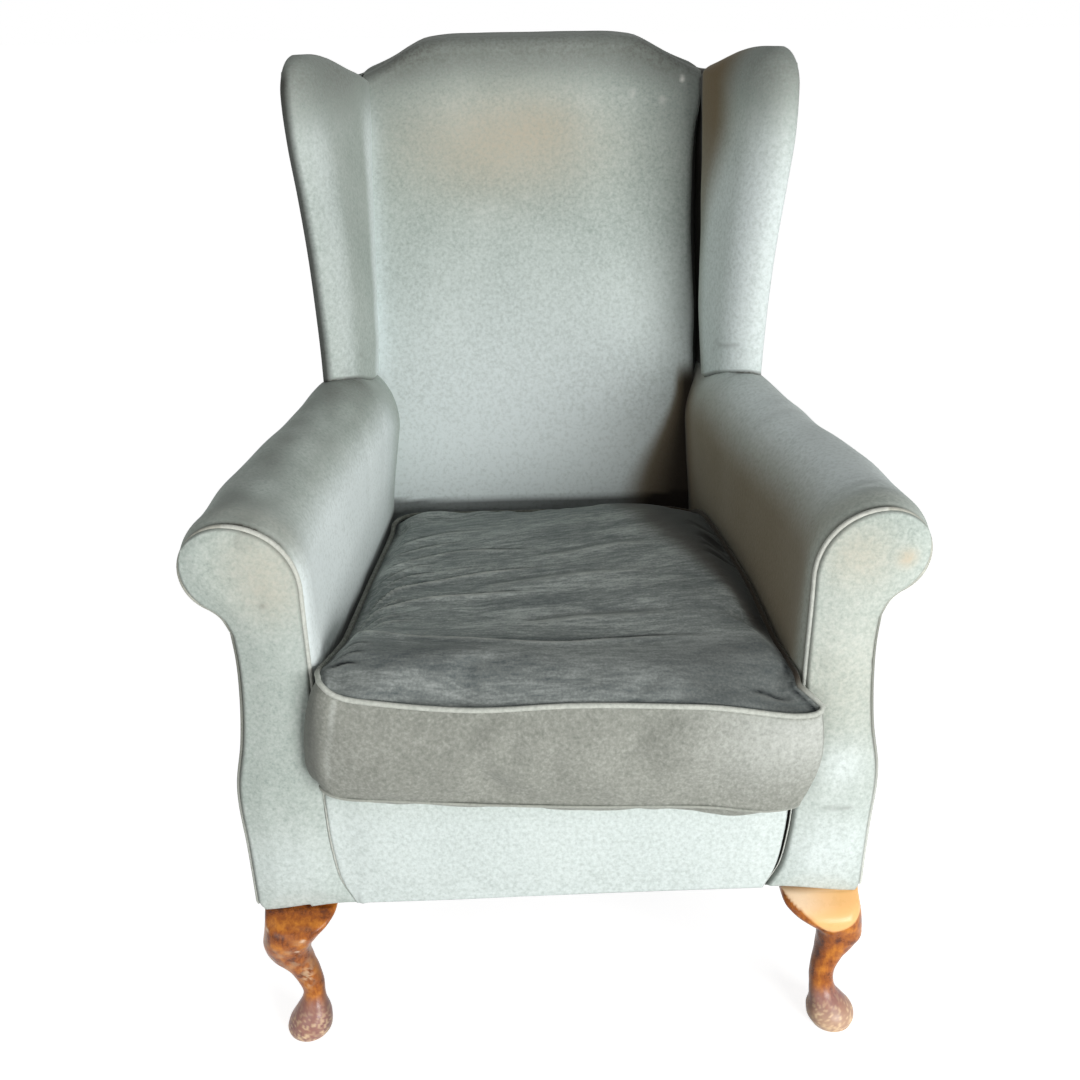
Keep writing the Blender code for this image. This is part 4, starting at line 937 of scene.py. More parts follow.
def wingGrid(fromFront, fromTop):
    # distances in from the front edge and down from the top edge, rounded together at the corner
    front, top = np.broadcast_arrays(fromFront, fromTop)
    radius = wing["cornerRadius"]
    p, q = 1 - front / radius, 1 - top / radius
    corner = (p > 0) & (q > 0)
    reach = np.maximum(np.maximum(p, q), 1.0)
    pr = np.where(corner, p * np.sqrt(1 - np.clip(q / reach, 0, 1) ** 2 / 2), p)
    qr = np.where(corner, q * np.sqrt(1 - np.clip(p / reach, 0, 1) ** 2 / 2), q)
    rho = np.where(corner, np.hypot(pr, qr), np.maximum(p, q))
    edge = radius * (1 - rho)  # negative once past the edge, on the outer face
    fold = np.where(rho > 1, (2 - rho) / np.maximum(rho, 1e-6), 1.0)
    pr = np.where(corner, pr * fold, np.where(p > 1, 2 - p, p))
    qr = np.where(corner, qr * fold, np.where(q > 1, 2 - q, q))
    return radius * (1 - pr), radius * (1 - qr), edge


def wingSurface(front, top, edge, outer):
    s = np.clip(front / wing["length"], 0, 1.2)
    z = wingTop(s) - top
    length = backY(z) + 0.054 - wing["frontY"] - 0.02 * ((z - wing["footZ"]) / wing["height"]) ** 2
    s = np.where(front < 0.04, front / length,
                 mix(0.04 / length, 1.0, (front - 0.04) / (wing["length"] - 0.04)))
    z = wingTop(np.clip(s, 0, 1.2)) - top
    innerTurn = mix(wing["innerTurn"], wing["rootTurn"], smooth(0.07, 0.17, front))
    inside = wing["split"] * (1 - np.sqrt(1 - np.clip(1 - edge / innerTurn, 0, 1) ** 2))
    bent = np.clip(1 - np.abs(edge) / wing["outerTurn"], 0, 1)
    outside = 1 - (1 - wing["split"]) * (1 - np.sqrt(1 - bent ** 2))
    d = np.where(edge >= 0, inside, outside) if not outer else np.ones_like(z)
    return s, d, z


def wingFoot(s, d, side):
    spot = wingPlace(s, d, np.full_like(s, wing["footZ"]), side)
    return armTopZ(spot[..., 0], spot[..., 1], side) + 0.0008


def makeWingPad(side):
    turn = wing["seamTurn"]
    fromFront = wingSteps(-turn, 34, wing["length"], 50)[None, :]
    fromTop = wingSteps(-turn, 34, wing["tall"], 70)[:, None]
    front, top, edge = wingGrid(fromFront, fromTop)
    s, d, z = wingSurface(front, top, edge, outer=False)
    # the rows run down to the arm: stretch them so that the last follows the roll
    foot = wingFoot(np.clip(s, 0, 1), d, side)
    low = wingTop(np.clip(s, 0, 1.2)) - wing["tall"]
    stretch = np.clip((top - 0.06) / (wing["tall"] - 0.06), 0, 1)
    z = z + (foot - low) * stretch
    place = wingPlace(s, d, z, side)
    share = np.clip(s / wing["root"], 0, 1)
    crown = wing["crown"][side] * np.sin(math.pi * share ** 1.35)
    inGroove = smooth(0.60, 0.75, s) * (1 - smooth(0.85, 0.98, s)) * (1 - 0.3 * smooth(0.93, 0.985, z))
    crown = crown - wing["groove"][side] * inGroove
    crown = crown * (0.45 + 0.55 * smooth(0.0, 0.06, z - foot))
    tuck = edgeDrop(np.abs(z - foot), 0.006, 0.004)
    inward = np.where(edge > 0, 1.0, 0.0)
    seam = hump(np.minimum(fromFront, fromTop), -turn, 0.0022)
    x = place[..., 0] - inward * (crown - tuck)
    bulge = 0.0016 * lumps(place, 0.06, 12.0 if side == "left" else 17.5) * smooth(0.0, 0.03, np.abs(edge))
    x = x - inward * bulge - (1 - inward) * 0.0016 * seam
    y = place[..., 1]
    # painted shade along the front seam, where the pad meets the arm, and in each crease
    dirt = 0.9 * hump(z, foot, 0.0022) + 0.9 * seam
    for above, deep, wide, begin, stop in wing["creases"][side]:
        at = foot + above + 0.004 * np.sin(9 * share)
        strength = smooth(begin - 0.05, begin + 0.03, share) * (1 - smooth(stop - 0.08, stop, share)) * inward
        x = x + deep * strength * (hump(z, at, wide) - 0.7 * hump(z, at + 2 * wide, wide))
        dirt = dirt + 0.25 * strength * hump(z, at - wide * 0.3, wide * 0.6)
    near = np.stack([x, y, z], -1)
    # inner side of the pad, drawn in from every edge
    far = wingPlace(np.clip(s * 0.90 + 0.035, 0, 1.0), np.full_like(s, 0.40),
                    z - np.clip(0.02 - top, 0, 0.02) * 0.9, side)
    # painted shade along the top, which is turned up from the light
    dirt = dirt + 0.50 * smooth(0.93, 1.02, z)
    # painted light along the rounded front edge
    bleach = 0.30 * hump(share, 0.08, 0.10) * (1 - smooth(0.93, 1.0, z))
    grime = 0 * z
    if side == "left":
        dirt = dirt + 0.12 * hump(share, 0.45, 0.25) * smooth(0.66, 0.9, z)
        soil = 0.85 * smooth(0.715, 0.76, d) * smooth(0.0, 0.03, top)  # painted shade along the front seam
        # painted light on the rear strip, where the lamp shines into the joint with the back
        bleach = bleach + 0.95 * smooth(0.66, 0.90, share) * (1 - smooth(0.90, 1.0, z))
    else:
        # painted light on the front part
        bleach = bleach + 0.55 * (1 - smooth(0.50, 0.75, share)) * (1 - smooth(0.85, 0.97, z))
        # painted shade, dark brown, beside the open joint, in a strip that widens upwards
        high = smooth(0.74, 0.96, z)
        begin = mix(0.54, 0.22, high)
        grime = mix(0.42, 0.95, high) * smooth(begin, begin + 0.34, share)
        # painted deep shade at the rear, in the open joint
        soil = 0.97 * smooth(0.64, 0.70, s)
    pad = sideCover("wingPad", side, near, far, "inside_wing_",
                    {"dirt": dirt, "bleach": bleach, "grime": grime, "soil": soil})


def makeWingPanel(side):
    turn = wing["seamTurn"] + 0.0006
    fromFront = wingSteps(turn, 10, wing["length"] * 1.14, 50)[None, :]
    fromTop = wingSteps(turn, 10, wing["tall"], 60)[:, None]
    front, top, edge = wingGrid(fromFront, fromTop)
    s, d, z = wingSurface(front, top, edge, outer=True)
    foot = wingFoot(np.clip(s, 0, 1), d, side)
    low = wingTop(np.clip(s, 0, 1.2)) - wing["tall"]
    stretch = np.clip((top - 0.06) / (wing["tall"] - 0.06), 0, 1)
    foot = foot - 0.012 * smooth(0.85, 1.0, s)  # at the rear it reaches down over the end of the arm
    z = z + (foot - low) * stretch
    place = wingPlace(s, d, z, side)
    rim = np.minimum(np.minimum(fromFront, fromTop) - turn, z - foot)
    rim = np.maximum(np.minimum(rim, (1.135 - s) * wing["length"]), 0)
    x = place[..., 0] + 0.002 * smooth(0.0, 0.05, rim) - edgeDrop(rim, 0.005, 0.0035)
    x = x + 0.0010 * lumps(place, 0.10, 51.0 if side == "left" else 57.0) * smooth(0, 0.03, rim)
    near = np.stack([x, place[..., 1], z], -1)
    far = np.stack([place[..., 0] - 0.0055, place[..., 1], z], -1)
    # painted shade along its seams
    panel = sideCover("wingPanel", side, near, far, "outside_wing_", {"dirt": 0.9 * hump(rim, 0.0, 0.002)})


for wingSide in ("left", "right"):
    makeWingPad(wingSide)
    makeWingPanel(wingSide)
print("armchair: wings upholstered")


# Seat border, deck and bottom cloth

border = {"front": -0.0040, "crown": 0.0045, "back": 0.0140, "top": 0.3225, "bottom": 0.1775,
          "leftTurn": 0.0010, "rightTurn": 0.0070, "leftGap": 0.0001, "rightGap": 0.0026}


def makeBorder():
    edgeX, edgeZ = np.array(armShape["inner"])[::-1].T
    z = clustered(border["bottom"], border["top"], 70, 0.4)[:, None]
    share = clustered(0.0, 1.0, 130, 0.6)[None, :]
    inner = softInterp(z, edgeZ, edgeX)
    left, right = -(inner - border["leftGap"]), inner - border["rightGap"]
    x = mix(left, right, share)
    edge = np.minimum(np.minimum(x - left, right - x), z - border["bottom"])
    turned = mix(border["leftTurn"], border["rightTurn"], smooth(-0.15, 0.15, x))
    y = border["front"] - border["crown"] * smooth(0.0, 0.05, edge) + edgeDrop(edge, 0.006, turned)
    # at the right the cover turns into the open joint and lines it
    x = np.concatenate([x, right + 0.0004, right + 0.0022, right + 0.0074], 1)
    y = np.concatenate([y, 0 * z + 0.008, 0 * z + 0.0125, 0 * z + 0.0128], 1)
    edge = np.concatenate([edge, 0 * z, 0 * z, 0 * z], 1)
    y = y + edgeDrop(border["top"] - z, 0.012, 0.010)
    points = np.stack([x, y, z + 0 * x], -1)
    y = y + 0.0010 * lumps(points, 0.07, 61.0) * smooth(0.0, 0.02, edge)
    pleat = hump(x, -0.222 - 0.25 * (z - 0.172), 0.003) * (1 - smooth(0.178, 0.205, z))
    y = y - 0.0018 * pleat
    near = np.stack([x, y, z + 0 * x], -1)
    far = np.stack([np.minimum(x, right + 0.0022), np.full_like(x, border["back"]), z + 0 * x], -1)
    # painted shade along its edges, in the pleat and under the cushion
    dirt = 0.45 * hump(edge, 0.0, 0.002) * smooth(0.0, 0.05, x) + 0.2 * pleat + 0.25 * smooth(0.312, 0.322, z)
    inJoint = smooth(-0.001, 0.0005, x - right)  # what lines the open joint is painted black as shade
    # paler over the front, partly faded and partly painted light, less so towards the top
    marks = {"dirt": dirt, "soil": 0.95 * inJoint,
             "bleach": (0.50 - 0.20 * smooth(0.27, 0.32, z)) * (1 - inJoint)}
    pad = shellPiece("seatBorder", near, far, cottonVelour, ["front_border"], marks)


def makeDeck():
    y = np.linspace(0.0150, 0.505, 60)[:, None]
    share = np.linspace(-1.0, 1.0, 60)[None, :]
    x = share * (innerX(y) - 0.0045)
    z = shape["deckTop"] - 0.0012 - seatSag(x, y) - edgeDrop((1 - np.abs(share)) * 0.24, 0.012, 0.006)
    points = np.stack([x, y + 0 * x, z], -1)
    z = z - 0.0015 * (lumps(points, 0.05, 71.0) + 0.5)
    near = np.stack([x, y + 0 * x, z], -1)
    far = np.stack([x, y + 0 * x, 0.3085 - seatSag(x, y)], -1)
    deck = shellPiece("deckCloth", near, far, cottonDeckCloth, ["seat_platform"])


bottomCloth = {
    # it is narrower between the front legs and between the rear legs
    "front": 0.020, "frontLegs": 0.075, "rearLegs": 0.545, "back": 0.590, "z": 0.1705,
    "frontHalf": 0.235, "sideHalf": (0.310, 0.262), "rearHalf": 0.215,
    "flat": (0.600, 0.570), "area": 0.318,
}


def makeBottomCloth():
    # one layer of black cloth tacked under the rails, turned in round the legs
    legs = bottomCloth["frontLegs"], bottomCloth["rearLegs"]
    rows = []
    for y in np.concatenate([np.linspace(bottomCloth["front"], legs[0], 6),
                             np.linspace(legs[0] + 0.0002, legs[1] - 0.0002, 40),
                             np.linspace(legs[1], bottomCloth["back"], 6)]):
        half = np.interp(y, legs, bottomCloth["sideHalf"])
        if y <= legs[0]:
            half = bottomCloth["frontHalf"]
        elif y >= legs[1]:
            half = bottomCloth["rearHalf"]
        rows.append([(x, y, bottomCloth["z"]) for x in np.linspace(-half, half, 40)])
    points = np.array(rows)
    faces = gridFaces(points.shape[0], points.shape[1])
    cloth = addPiece("bottomCloth", points, faces, blackBottomingCloth, ["dust_cover"])


makeBorder()
makeDeck()
makeBottomCloth()
print("armchair: seat border, deck and bottom cloth made")


# Seat cushion: cut as two panels and a boxing strip, blown up as cloth, then piped and creased

cushion = {
    "front": -0.0370, "back": 0.5230, "sideGap": 0.0060,
    "frontCorner": (0.022, 0.007), "backCorner": (0.036, 0.036),
    "across": 48, "deep": 136, "band": 12,
    # height of the top seam along the front edge, which has slumped to the right
    "topX": (-0.275, -0.254, -0.247, -0.219, -0.187, -0.156, -0.125, -0.105, 0.020, 0.133, 0.165, 0.186,
             0.207, 0.228, 0.249, 0.262, 0.280),
    "topZ": (0.4730, 0.4700, 0.4625, 0.4560, 0.4505, 0.4455, 0.4420, 0.4400, 0.4415, 0.4360, 0.4340, 0.4306,
             0.4269, 0.4232, 0.4194, 0.4185, 0.4200),
    "cornerShift": (-0.0036, 0.0265),  # how far those measures are taken along at the left and right end
    # height of the top seam along the sides
    "sideY": (-0.037, 0.0, 0.037, 0.086, 0.129, 0.171, 0.215, 0.290, 0.377, 0.441, 0.483, 0.523),
    "leftZ": (0.4710, 0.4710, 0.4620, 0.4500, 0.4400, 0.4370,
              0.4350, 0.4320, 0.4270, 0.4235, 0.4240, 0.4340),
    "rightZ": (0.4190, 0.4450, 0.4480, 0.4490, 0.4540, 0.4590,
               0.4620, 0.4630, 0.4610, 0.4540, 0.4440, 0.4360),
    "bottomX": (-0.270, -0.240, -0.178, 0.009, 0.159, 0.225, 0.260, 0.275),
    "bottomZ": (0.3500, 0.3400, 0.3330, 0.3190, 0.3130, 0.3060, 0.3130, 0.3220),
    "rearTop": 0.4300,
    "pressure": 4.0, "frames": 20, "mostMove": 0.016, "lump": 0.0026,
    "hold": 0.85,  # the arms hold the sides out by this share of what the pressure draws in
    # in front of the arms the cushion has spread past them: height and how far out it reaches
    "leftOut": ((0.3465, 0.2650), (0.3535, 0.2725), (0.3635, 0.2765), (0.385, 0.2775), (0.409, 0.2757),
                (0.433, 0.2715), (0.445, 0.2680), (0.460, 0.2630), (0.473, 0.2545)),
    "rightOut": ((0.294, 0.2540), (0.3128, 0.2640), (0.3315, 0.2730), (0.350, 0.2795), (0.3687, 0.2840),
                 (0.381, 0.2850), (0.4116, 0.2840), (0.4225, 0.2830)),
    "seamX": -0.2320,  # an upright seam joins the front boxing to the side boxing
}


def cushionPlan(u, v):
    # u from left to right, v from front to back, with round corners
    depth = cushion["back"] - cushion["front"]
    y = cushion["front"] + depth * v
    half = innerX(np.maximum(y, 0.0)) - cushion["sideGap"]
    fromSide, fromFront, fromBack = (1 - np.abs(u)) * half, v * depth, (1 - v) * depth
    x = u * half
    for corner, distance, direction in (("frontCorner", fromFront, -1), ("backCorner", fromBack, 1)):
        radius = np.where(u < 0, *cushion[corner])
        p, q = np.clip(1 - fromSide / radius, 0, 1), np.clip(1 - distance / radius, 0, 1)
        x = x - np.sign(u) * radius * (p - p * np.sqrt(1 - q * q / 2))
        y = y - direction * radius * (q - q * np.sqrt(1 - p * p / 2))
    return x, y


def cushionSeams(x, y):
    # resting heights of the top and bottom seams
    shift = np.where(x > 0, cushion["cornerShift"][1], cushion["cornerShift"][0])
    atFront = x + shift * np.clip(np.abs(x) / 0.250, 0, 1.05) ** 6
    frontTop = softInterp(atFront, cushion["topX"], cushion["topZ"])
    sides = [softInterp(y, cushion["sideY"], cushion[k]) for k in ("leftZ", "rightZ")]
    across = x / innerX(np.maximum(y, 0.0))
    fromFront = np.maximum(smooth(-0.034, 0.040, y), smooth(0.86, 0.97, np.abs(across)))
    top = mix(frontTop, mix(sides[0], sides[1], smooth(-1.0, 1.0, across)), fromFront)
    top = mix(top, cushion["rearTop"], smooth(0.46, 0.52, y))
    frontBottom = softInterp(x, cushion["bottomX"], cushion["bottomZ"])
    bottom = mix(frontBottom, 0.3275 - seatSag(x, y), smooth(-0.020, 0.012, y))
    return top, bottom


def cushionStart():
    # the cut cover as a closed mesh: top panel, bottom panel and boxing strip sharing their seam points
    nu, nv, nb = cushion["across"], cushion["deep"], cushion["band"]
    u = np.linspace(-1.0, 1.0, nu)[None, :]
    v = np.linspace(0.0, 1.0, nv)[:, None]
    u, v = np.broadcast_arrays(u, v)
    x, y = cushionPlan(u, v)
    top, bottom = cushionSeams(x, y)
    count = nu * nv
    points = [np.stack([x, y, top], -1).reshape(-1, 3), np.stack([x, y, bottom], -1).reshape(-1, 3)]
    faces = gridFaces(nv, nu) + gridFaces(nv, nu, count, turned=True)
    loop = [j for j in range(nu)] + [i * nu + nu - 1 for i in range(1, nv)]
    loop += [(nv - 1) * nu + j for j in range(nu - 2, -1, -1)] + [i * nu for i in range(nv - 2, 0, -1)]
    around = len(loop)
    rings = [np.array(loop)]
    for k in range(1, nb):
        share = k / nb
        ring = mix(points[0][loop], points[1][loop], share)
        rings.append(2 * count + (k - 1) * around + np.arange(around))
        points.append(ring)
    rings.append(np.array(loop) + count)
    for upper, lower in zip(rings, rings[1:]):
        for j in range(around):
            after = (j + 1) % around
            faces.append((int(upper[j]), int(upper[after]), int(lower[after]), int(lower[j])))
    points = np.concatenate(points)
    corners = [points[[f[k] for f in faces]] for k in range(3)]
    if np.einsum("ij,ij->i", corners[0], np.cross(corners[1], corners[2])).sum() < 0:
        faces = [f[::-1] for f in faces]
    return points, faces, rings


def blowUp(points, faces):
    # the panels are held only by each other, so the pressure rounds them between the seams
    mesh = bpy.data.meshes.new("cushionCut")
    mesh.from_pydata(points.tolist(), [], faces)
    cut = bpy.data.objects.new("cushionCut", mesh)
    bpy.context.scene.collection.objects.link(cut)
    cloth = cut.modifiers.new("cover", "CLOTH")
    cloth.settings.quality = 5
    cloth.settings.mass = 0.3
    cloth.settings.tension_stiffness = 25
    cloth.settings.compression_stiffness = 25
    cloth.settings.shear_stiffness = 10
    cloth.settings.bending_stiffness = 0.6
    cloth.settings.air_damping = 2
    cloth.settings.use_pressure = True
    cloth.settings.uniform_pressure_force = cushion["pressure"]
    cloth.settings.effector_weights.gravity = 0.0
    cloth.collision_settings.use_collision = False
    cloth.point_cache.frame_start = 1
    cloth.point_cache.frame_end = cushion["frames"]
    scene = bpy.context.scene
    for step in range(1, cushion["frames"] + 1):
        scene.frame_set(step)
    graph = bpy.context.evaluated_depsgraph_get()
    evaluated = cut.evaluated_get(graph).to_mesh()
    blown = np.empty(len(points) * 3)
    evaluated.vertices.foreach_get("co", blown)
    cut.evaluated_get(graph).to_mesh_clear()
    bpy.data.objects.remove(cut)
    scene.frame_set(1)
    return blown.reshape(-1, 3)


def settle(points, cut, rings):
    # the pressure has moved both seams: bring them back to their resting heights and out against the arms,
    # and the panels with them
    count, around = cushion["across"] * cushion["deep"], len(rings[0])
    steps = np.repeat(np.arange(1, cushion["band"]) / cushion["band"], around)
    share = np.concatenate([np.zeros(count), np.ones(count), steps])[:, None]
    moves = []
    for which, ring in enumerate((rings[0], rings[-1])):
        seam = points[ring]
        wanted = cushion["hold"] * (cut[ring] - seam)
        wanted[:, 2] = cushionSeams(cut[ring, 0], cut[ring, 1])[which] - seam[:, 2]
        apart = (points[:, None, 0] - seam[None, :, 0]) ** 2 + (points[:, None, 1] - seam[None, :, 1]) ** 2
        weight = 1 / (apart + 1e-5) ** 1.5
        moves.append(weight @ wanted / weight.sum(1)[:, None])
    return points + mix(moves[0], moves[1], share)


# creases in the top panel: points along each in metres, depth and width
cushionCreases = (
    (((-0.236, 0.092), (-0.177, 0.076), (-0.108, 0.064), (-0.024, 0.055), (0.015, 0.057), (0.061, 0.066),
      (0.131, 0.070), (0.190, 0.067)), 0.0036, 0.0030),
    (((-0.229, 0.148), (-0.211, 0.172), (-0.183, 0.185), (-0.135, 0.197), (-0.077, 0.198), (-0.003, 0.194)),
     0.0040, 0.0030),
    (((-0.217, 0.190), (-0.186, 0.228), (-0.153, 0.243), (-0.111, 0.255), (-0.060, 0.259), (0.025, 0.258)),
     0.0034, 0.0028),
    (((-0.214, 0.205), (-0.174, 0.240), (-0.136, 0.256)), 0.0032, 0.0026),
    (((-0.222, 0.166), (-0.196, 0.192), (-0.160, 0.208)), 0.0030, 0.0026),
    (((-0.232, 0.112), (-0.196, 0.131), (-0.150, 0.138)), 0.0030, 0.0028),
    (((-0.233, 0.128), (-0.200, 0.148), (-0.160, 0.158)), 0.0026, 0.0026),
    (((-0.214, 0.236), (-0.175, 0.272), (-0.133, 0.279), (-0.060, 0.281)), 0.0022, 0.0030),
    (((-0.208, 0.268), (-0.168, 0.303), (-0.125, 0.310)), 0.0020, 0.0030),
    (((-0.200, 0.310), (-0.139, 0.338), (-0.042, 0.328), (0.011, 0.312)), 0.0022, 0.0034),
    (((-0.200, 0.350), (-0.149, 0.373), (-0.090, 0.378)), 0.0018, 0.0034),
    (((-0.196, 0.390), (-0.140, 0.412), (-0.060, 0.410)), 0.0016, 0.0040),
    (((-0.040, 0.120), (0.060, 0.128), (0.160, 0.122)), 0.0012, 0.0060),
    (((-0.080, 0.225), (0.040, 0.232), (0.150, 0.224)), 0.0010, 0.0060),
    (((-0.020, 0.300), (0.080, 0.306), (0.160, 0.298)), 0.0010, 0.0060),
    (((-0.243, 0.010), (-0.225, 0.020), (-0.200, 0.022)), 0.0022, 0.0026),
    (((-0.245, 0.000), (-0.228, 0.006), (-0.205, 0.004)), 0.0020, 0.0026),
    (((-0.240, 0.024), (-0.222, 0.040), (-0.196, 0.046)), 0.0020, 0.0030),
    (((0.242, -0.016), (0.222, -0.010), (0.200, -0.012)), 0.0014, 0.0030),
)


def creaseTop(x, y):
    # down in each crease, with a low ridge of slack cloth on its near side
    raised, dirt, shine = np.zeros_like(x), np.zeros_like(x), np.zeros_like(x)
    # painted shade in each crease and a painted highlight on its ridge
    for line, deep, wide in cushionCreases:
        alongX, alongY = np.array(sorted(line)).T
        low, high = alongX[0], alongX[-1]
        strength = smooth(low - 0.006, low + 0.015, x) * (1 - smooth(high - 0.45 * (high - low), high, x))
        off = y - softInterp(x, alongX, alongY)
        section = 0.9 * hump(off, -1.5 * wide, 1.6 * wide) - hump(off, 0.0, wide)
        raised = raised + 1.3 * strength * deep * section
        dirt = dirt + 1.8 * strength * hump(off, 0.15 * wide, 0.9 * wide) * deep / 0.0034
        shine = shine + strength * hump(off, -1.3 * wide, wide) * deep / 0.0034
    return raised, dirt, shine


def spreadEars(x, y, z, widest):
    # the front corners have spread past the arms
    out = x.copy()
    begin, slope = np.where(x < 0, -0.0075, -0.0065), np.where(x < 0, 0.006, 0.020)
    infront = np.clip((begin - y) / slope, 0, 1)
    for sign, table in ((-1, cushion["leftOut"]), (1, cushion["rightOut"])):
        heights, reach = np.array(table).T
        push = softInterp(z, heights, reach) - widest
        out = out + sign * push * infront * np.clip(sign * x / widest, 0, 1.0) ** 6
    return out


def makeCushion():
    points, faces, rings = cushionStart()
    blown = blowUp(points, faces)
    moved = blown - points
    far = np.linalg.norm(moved, axis=1, keepdims=True)
    moved = moved * np.minimum(1.0, cushion["mostMove"] / np.maximum(far, 1e-9))
    points = settle(points + moved, points, rings)
    topRing, bottomRing = points[rings[0]], points[rings[-1]]
    count = cushion["across"] * cushion["deep"]

    # one round of subdivision, kept sharp along both seams
    mesh = bpy.data.meshes.new("seatCushion")
    mesh.from_pydata(points.tolist(), [], faces)
    seam = np.zeros(len(mesh.edges), np.float32)
    ringSets = [set(int(k) for k in rings[0]), set(int(k) for k in rings[-1])]
    for edgeIndex, meshEdge in enumerate(mesh.edges):
        a, b = meshEdge.vertices
        if any(a in ring and b in ring for ring in ringSets):
            seam[edgeIndex] = 0.85
    crease = mesh.attributes.new("crease_edge", "FLOAT", "EDGE")
    crease.data.foreach_set("value", seam)
    part = mesh.attributes.new("topPanel", "FLOAT", "POINT")
    kinds = np.zeros(len(points), np.float32)
    kinds[:count], kinds[rings[0]] = 1.0, 0.5
    part.data.foreach_set("value", kinds)
    holder = bpy.data.objects.new("cushionHolder", mesh)
    bpy.context.scene.collection.objects.link(holder)
    finer = holder.modifiers.new("finer", "SUBSURF")
    finer.levels = finer.render_levels = 1
    graph = bpy.context.evaluated_depsgraph_get()
    fine = bpy.data.meshes.new_from_object(holder.evaluated_get(graph))
    bpy.data.objects.remove(holder)
    co = np.empty(len(fine.vertices) * 3)
    fine.vertices.foreach_get("co", co)
    co = co.reshape(-1, 3)
    fineFaces = [tuple(p.vertices) for p in fine.polygons]
    onTop = np.empty(len(co), np.float32)
    fine.attributes["topPanel"].data.foreach_get("value", onTop)
    normal = np.empty(len(co) * 3)
    fine.vertices.foreach_get("normal", normal)
    normal = normal.reshape(-1, 3)

    x, y, z = co.T
    topPanel = smooth(0.5, 0.75, onTop)
    raised, dirt, shine = creaseTop(x, y)
    strip = (1 - smooth(0.30, 0.50, onTop)) * smooth(0.3, 0.5, -normal[:, 1])
    z = z + (raised + cushion["lump"] * lumps(co, 0.060, 81.0) - 0.005 * smooth(0.38, 0.50, y)) * topPanel
    # the boxing strip puckers a little under its piping and along its lower seam
    seamZ = softInterp(x, cushion["topX"], cushion["topZ"])
    pucker = 0.0009 * np.sin(x * 210 + 3 * np.sin(x * 37)) * hump(z, seamZ - 0.010, 0.007)
    pucker = pucker + 0.0016 * np.sin(x * 150 + 2) * hump(x, 0.08, 0.06) * hump(z, 0.330, 0.008)
    pucker = pucker - 0.0034 * hump(x, 0.228, 0.018) * hump(z, 0.4080 - 0.05 * (x - 0.228), 0.0035)
    seamLine = hump(x, cushion["seamX"] - 0.060 * (0.415 - z), 0.0018) * smooth(0.358, 0.368, z)
    pucker = pucker + 0.0014 * seamLine
    y = y + (pucker - 0.0016 * lumps(co, 0.05, 91.0)) * strip
    widest = np.abs(x[y < -0.014]).max()
    x = spreadEars(x, y, z, widest)
    # stay clear of arms, back and deck
    limit = innerX(np.maximum(y, 0.0)) - 0.0018
    x = np.where(y > -0.0080, np.clip(x, -limit, limit), x)
    y = np.minimum(y, backY(z) - 0.015)
    z = np.maximum(z, np.where(y > -0.004, shape["deckTop"] + 0.0006 - seatSag(x, y), 0.0))

    # painted shade in the creases, by the front seam, at the back and the front, on the right and by the arms
    nearSeam = (1 - smooth(0.5, 0.95, onTop)) * (onTop > 0.49)
    shade = 0.80 * dirt + 0.90 * nearSeam * (y < 0.0) + 0.25 * smooth(0.42, 0.50, y)
    shade = shade + 0.38 * (1 - smooth(0.03, 0.10, y)) + 0.24 * smooth(0.06, 0.18, x) - 0.09
    shade = shade + 0.60 * (1 - smooth(0.0, 0.022, innerX(y) - np.abs(x))) * smooth(0.0, 0.05, y)
    # a brown-black band of painted shade along the right arm, wider towards the back
    reach = 0.014 + 0.26 * np.clip(y - 0.08, 0.0, 0.27) + 0.10 * np.clip(y - 0.35, 0.0, 0.2)
    fromArm = innerX(y) - x
    grime = 0.85 * (1 - smooth(0.9 * reach, 1.5 * reach, fromArm)) * smooth(0.02, 0.09, y)
    soil = 0.93 * (1 - smooth(0.55 * reach, 1.15 * reach, fromArm)) * smooth(0.02, 0.09, y)
    # painted deep shade along the left arm and behind the cushion
    soil = soil + 0.9 * (1 - smooth(0.007, 0.016, innerX(y) + x)) * smooth(0.0, 0.04, y)
    soil = soil + 0.7 * smooth(0.500, 0.512, y)
    # and painted light low on the right of the front boxing
    # painted shade on the boxing at the left and behind the front, painted highlights on the crease ridges,
    marks = {"dirt": shade * topPanel + 0.50 * (1 - smooth(-0.262, -0.246, x)) * (1 - topPanel)
             + (1 - onTop) * smooth(-0.01, 0.02, y) * 0.8,
             "bleach": 0.95 * shine * topPanel + 0.30 * seamLine * strip
             + 0.50 * strip * smooth(0.10, 0.26, x) * smooth(0.31, 0.40, z), "grime": grime, "soil": soil}
    piece = addPiece("seatCushion", np.stack([x, y, z], -1), fineFaces, cottonVelourSeat,
                     ["seat_cushion"], marks, 80)
    piece.data.materials.append(cottonVelourBoxing)
    boxing = [int(onTop[list(f)].mean() < 0.45) for f in fineFaces]
    piece.data.polygons.foreach_set("material_index", boxing)

    def follow(ring, lift, out):
        loop = np.array(ring)
        middle = loop.mean(0)
        away = loop - middle
        away[:, 2] = 0
        away /= np.linalg.norm(away, axis=1, keepdims=True)
        loop = loop + away * out + np.array([0, 0, lift])
        for _ in range(3):
            loop = 0.25 * np.roll(loop, 1, 0) + 0.5 * loop + 0.25 * np.roll(loop, -1, 0)
        loop[:, 0] = spreadEars(*loop.T, widest)
        edge = innerX(np.maximum(loop[:, 1], 0.0)) - 0.0042
        loop[:, 0] = np.where(loop[:, 1] > -0.0075, np.clip(loop[:, 0], -edge, edge), loop[:, 0])
        loop[:, 1] = np.minimum(loop[:, 1], backY(loop[:, 2]) - 0.018)
        return loop

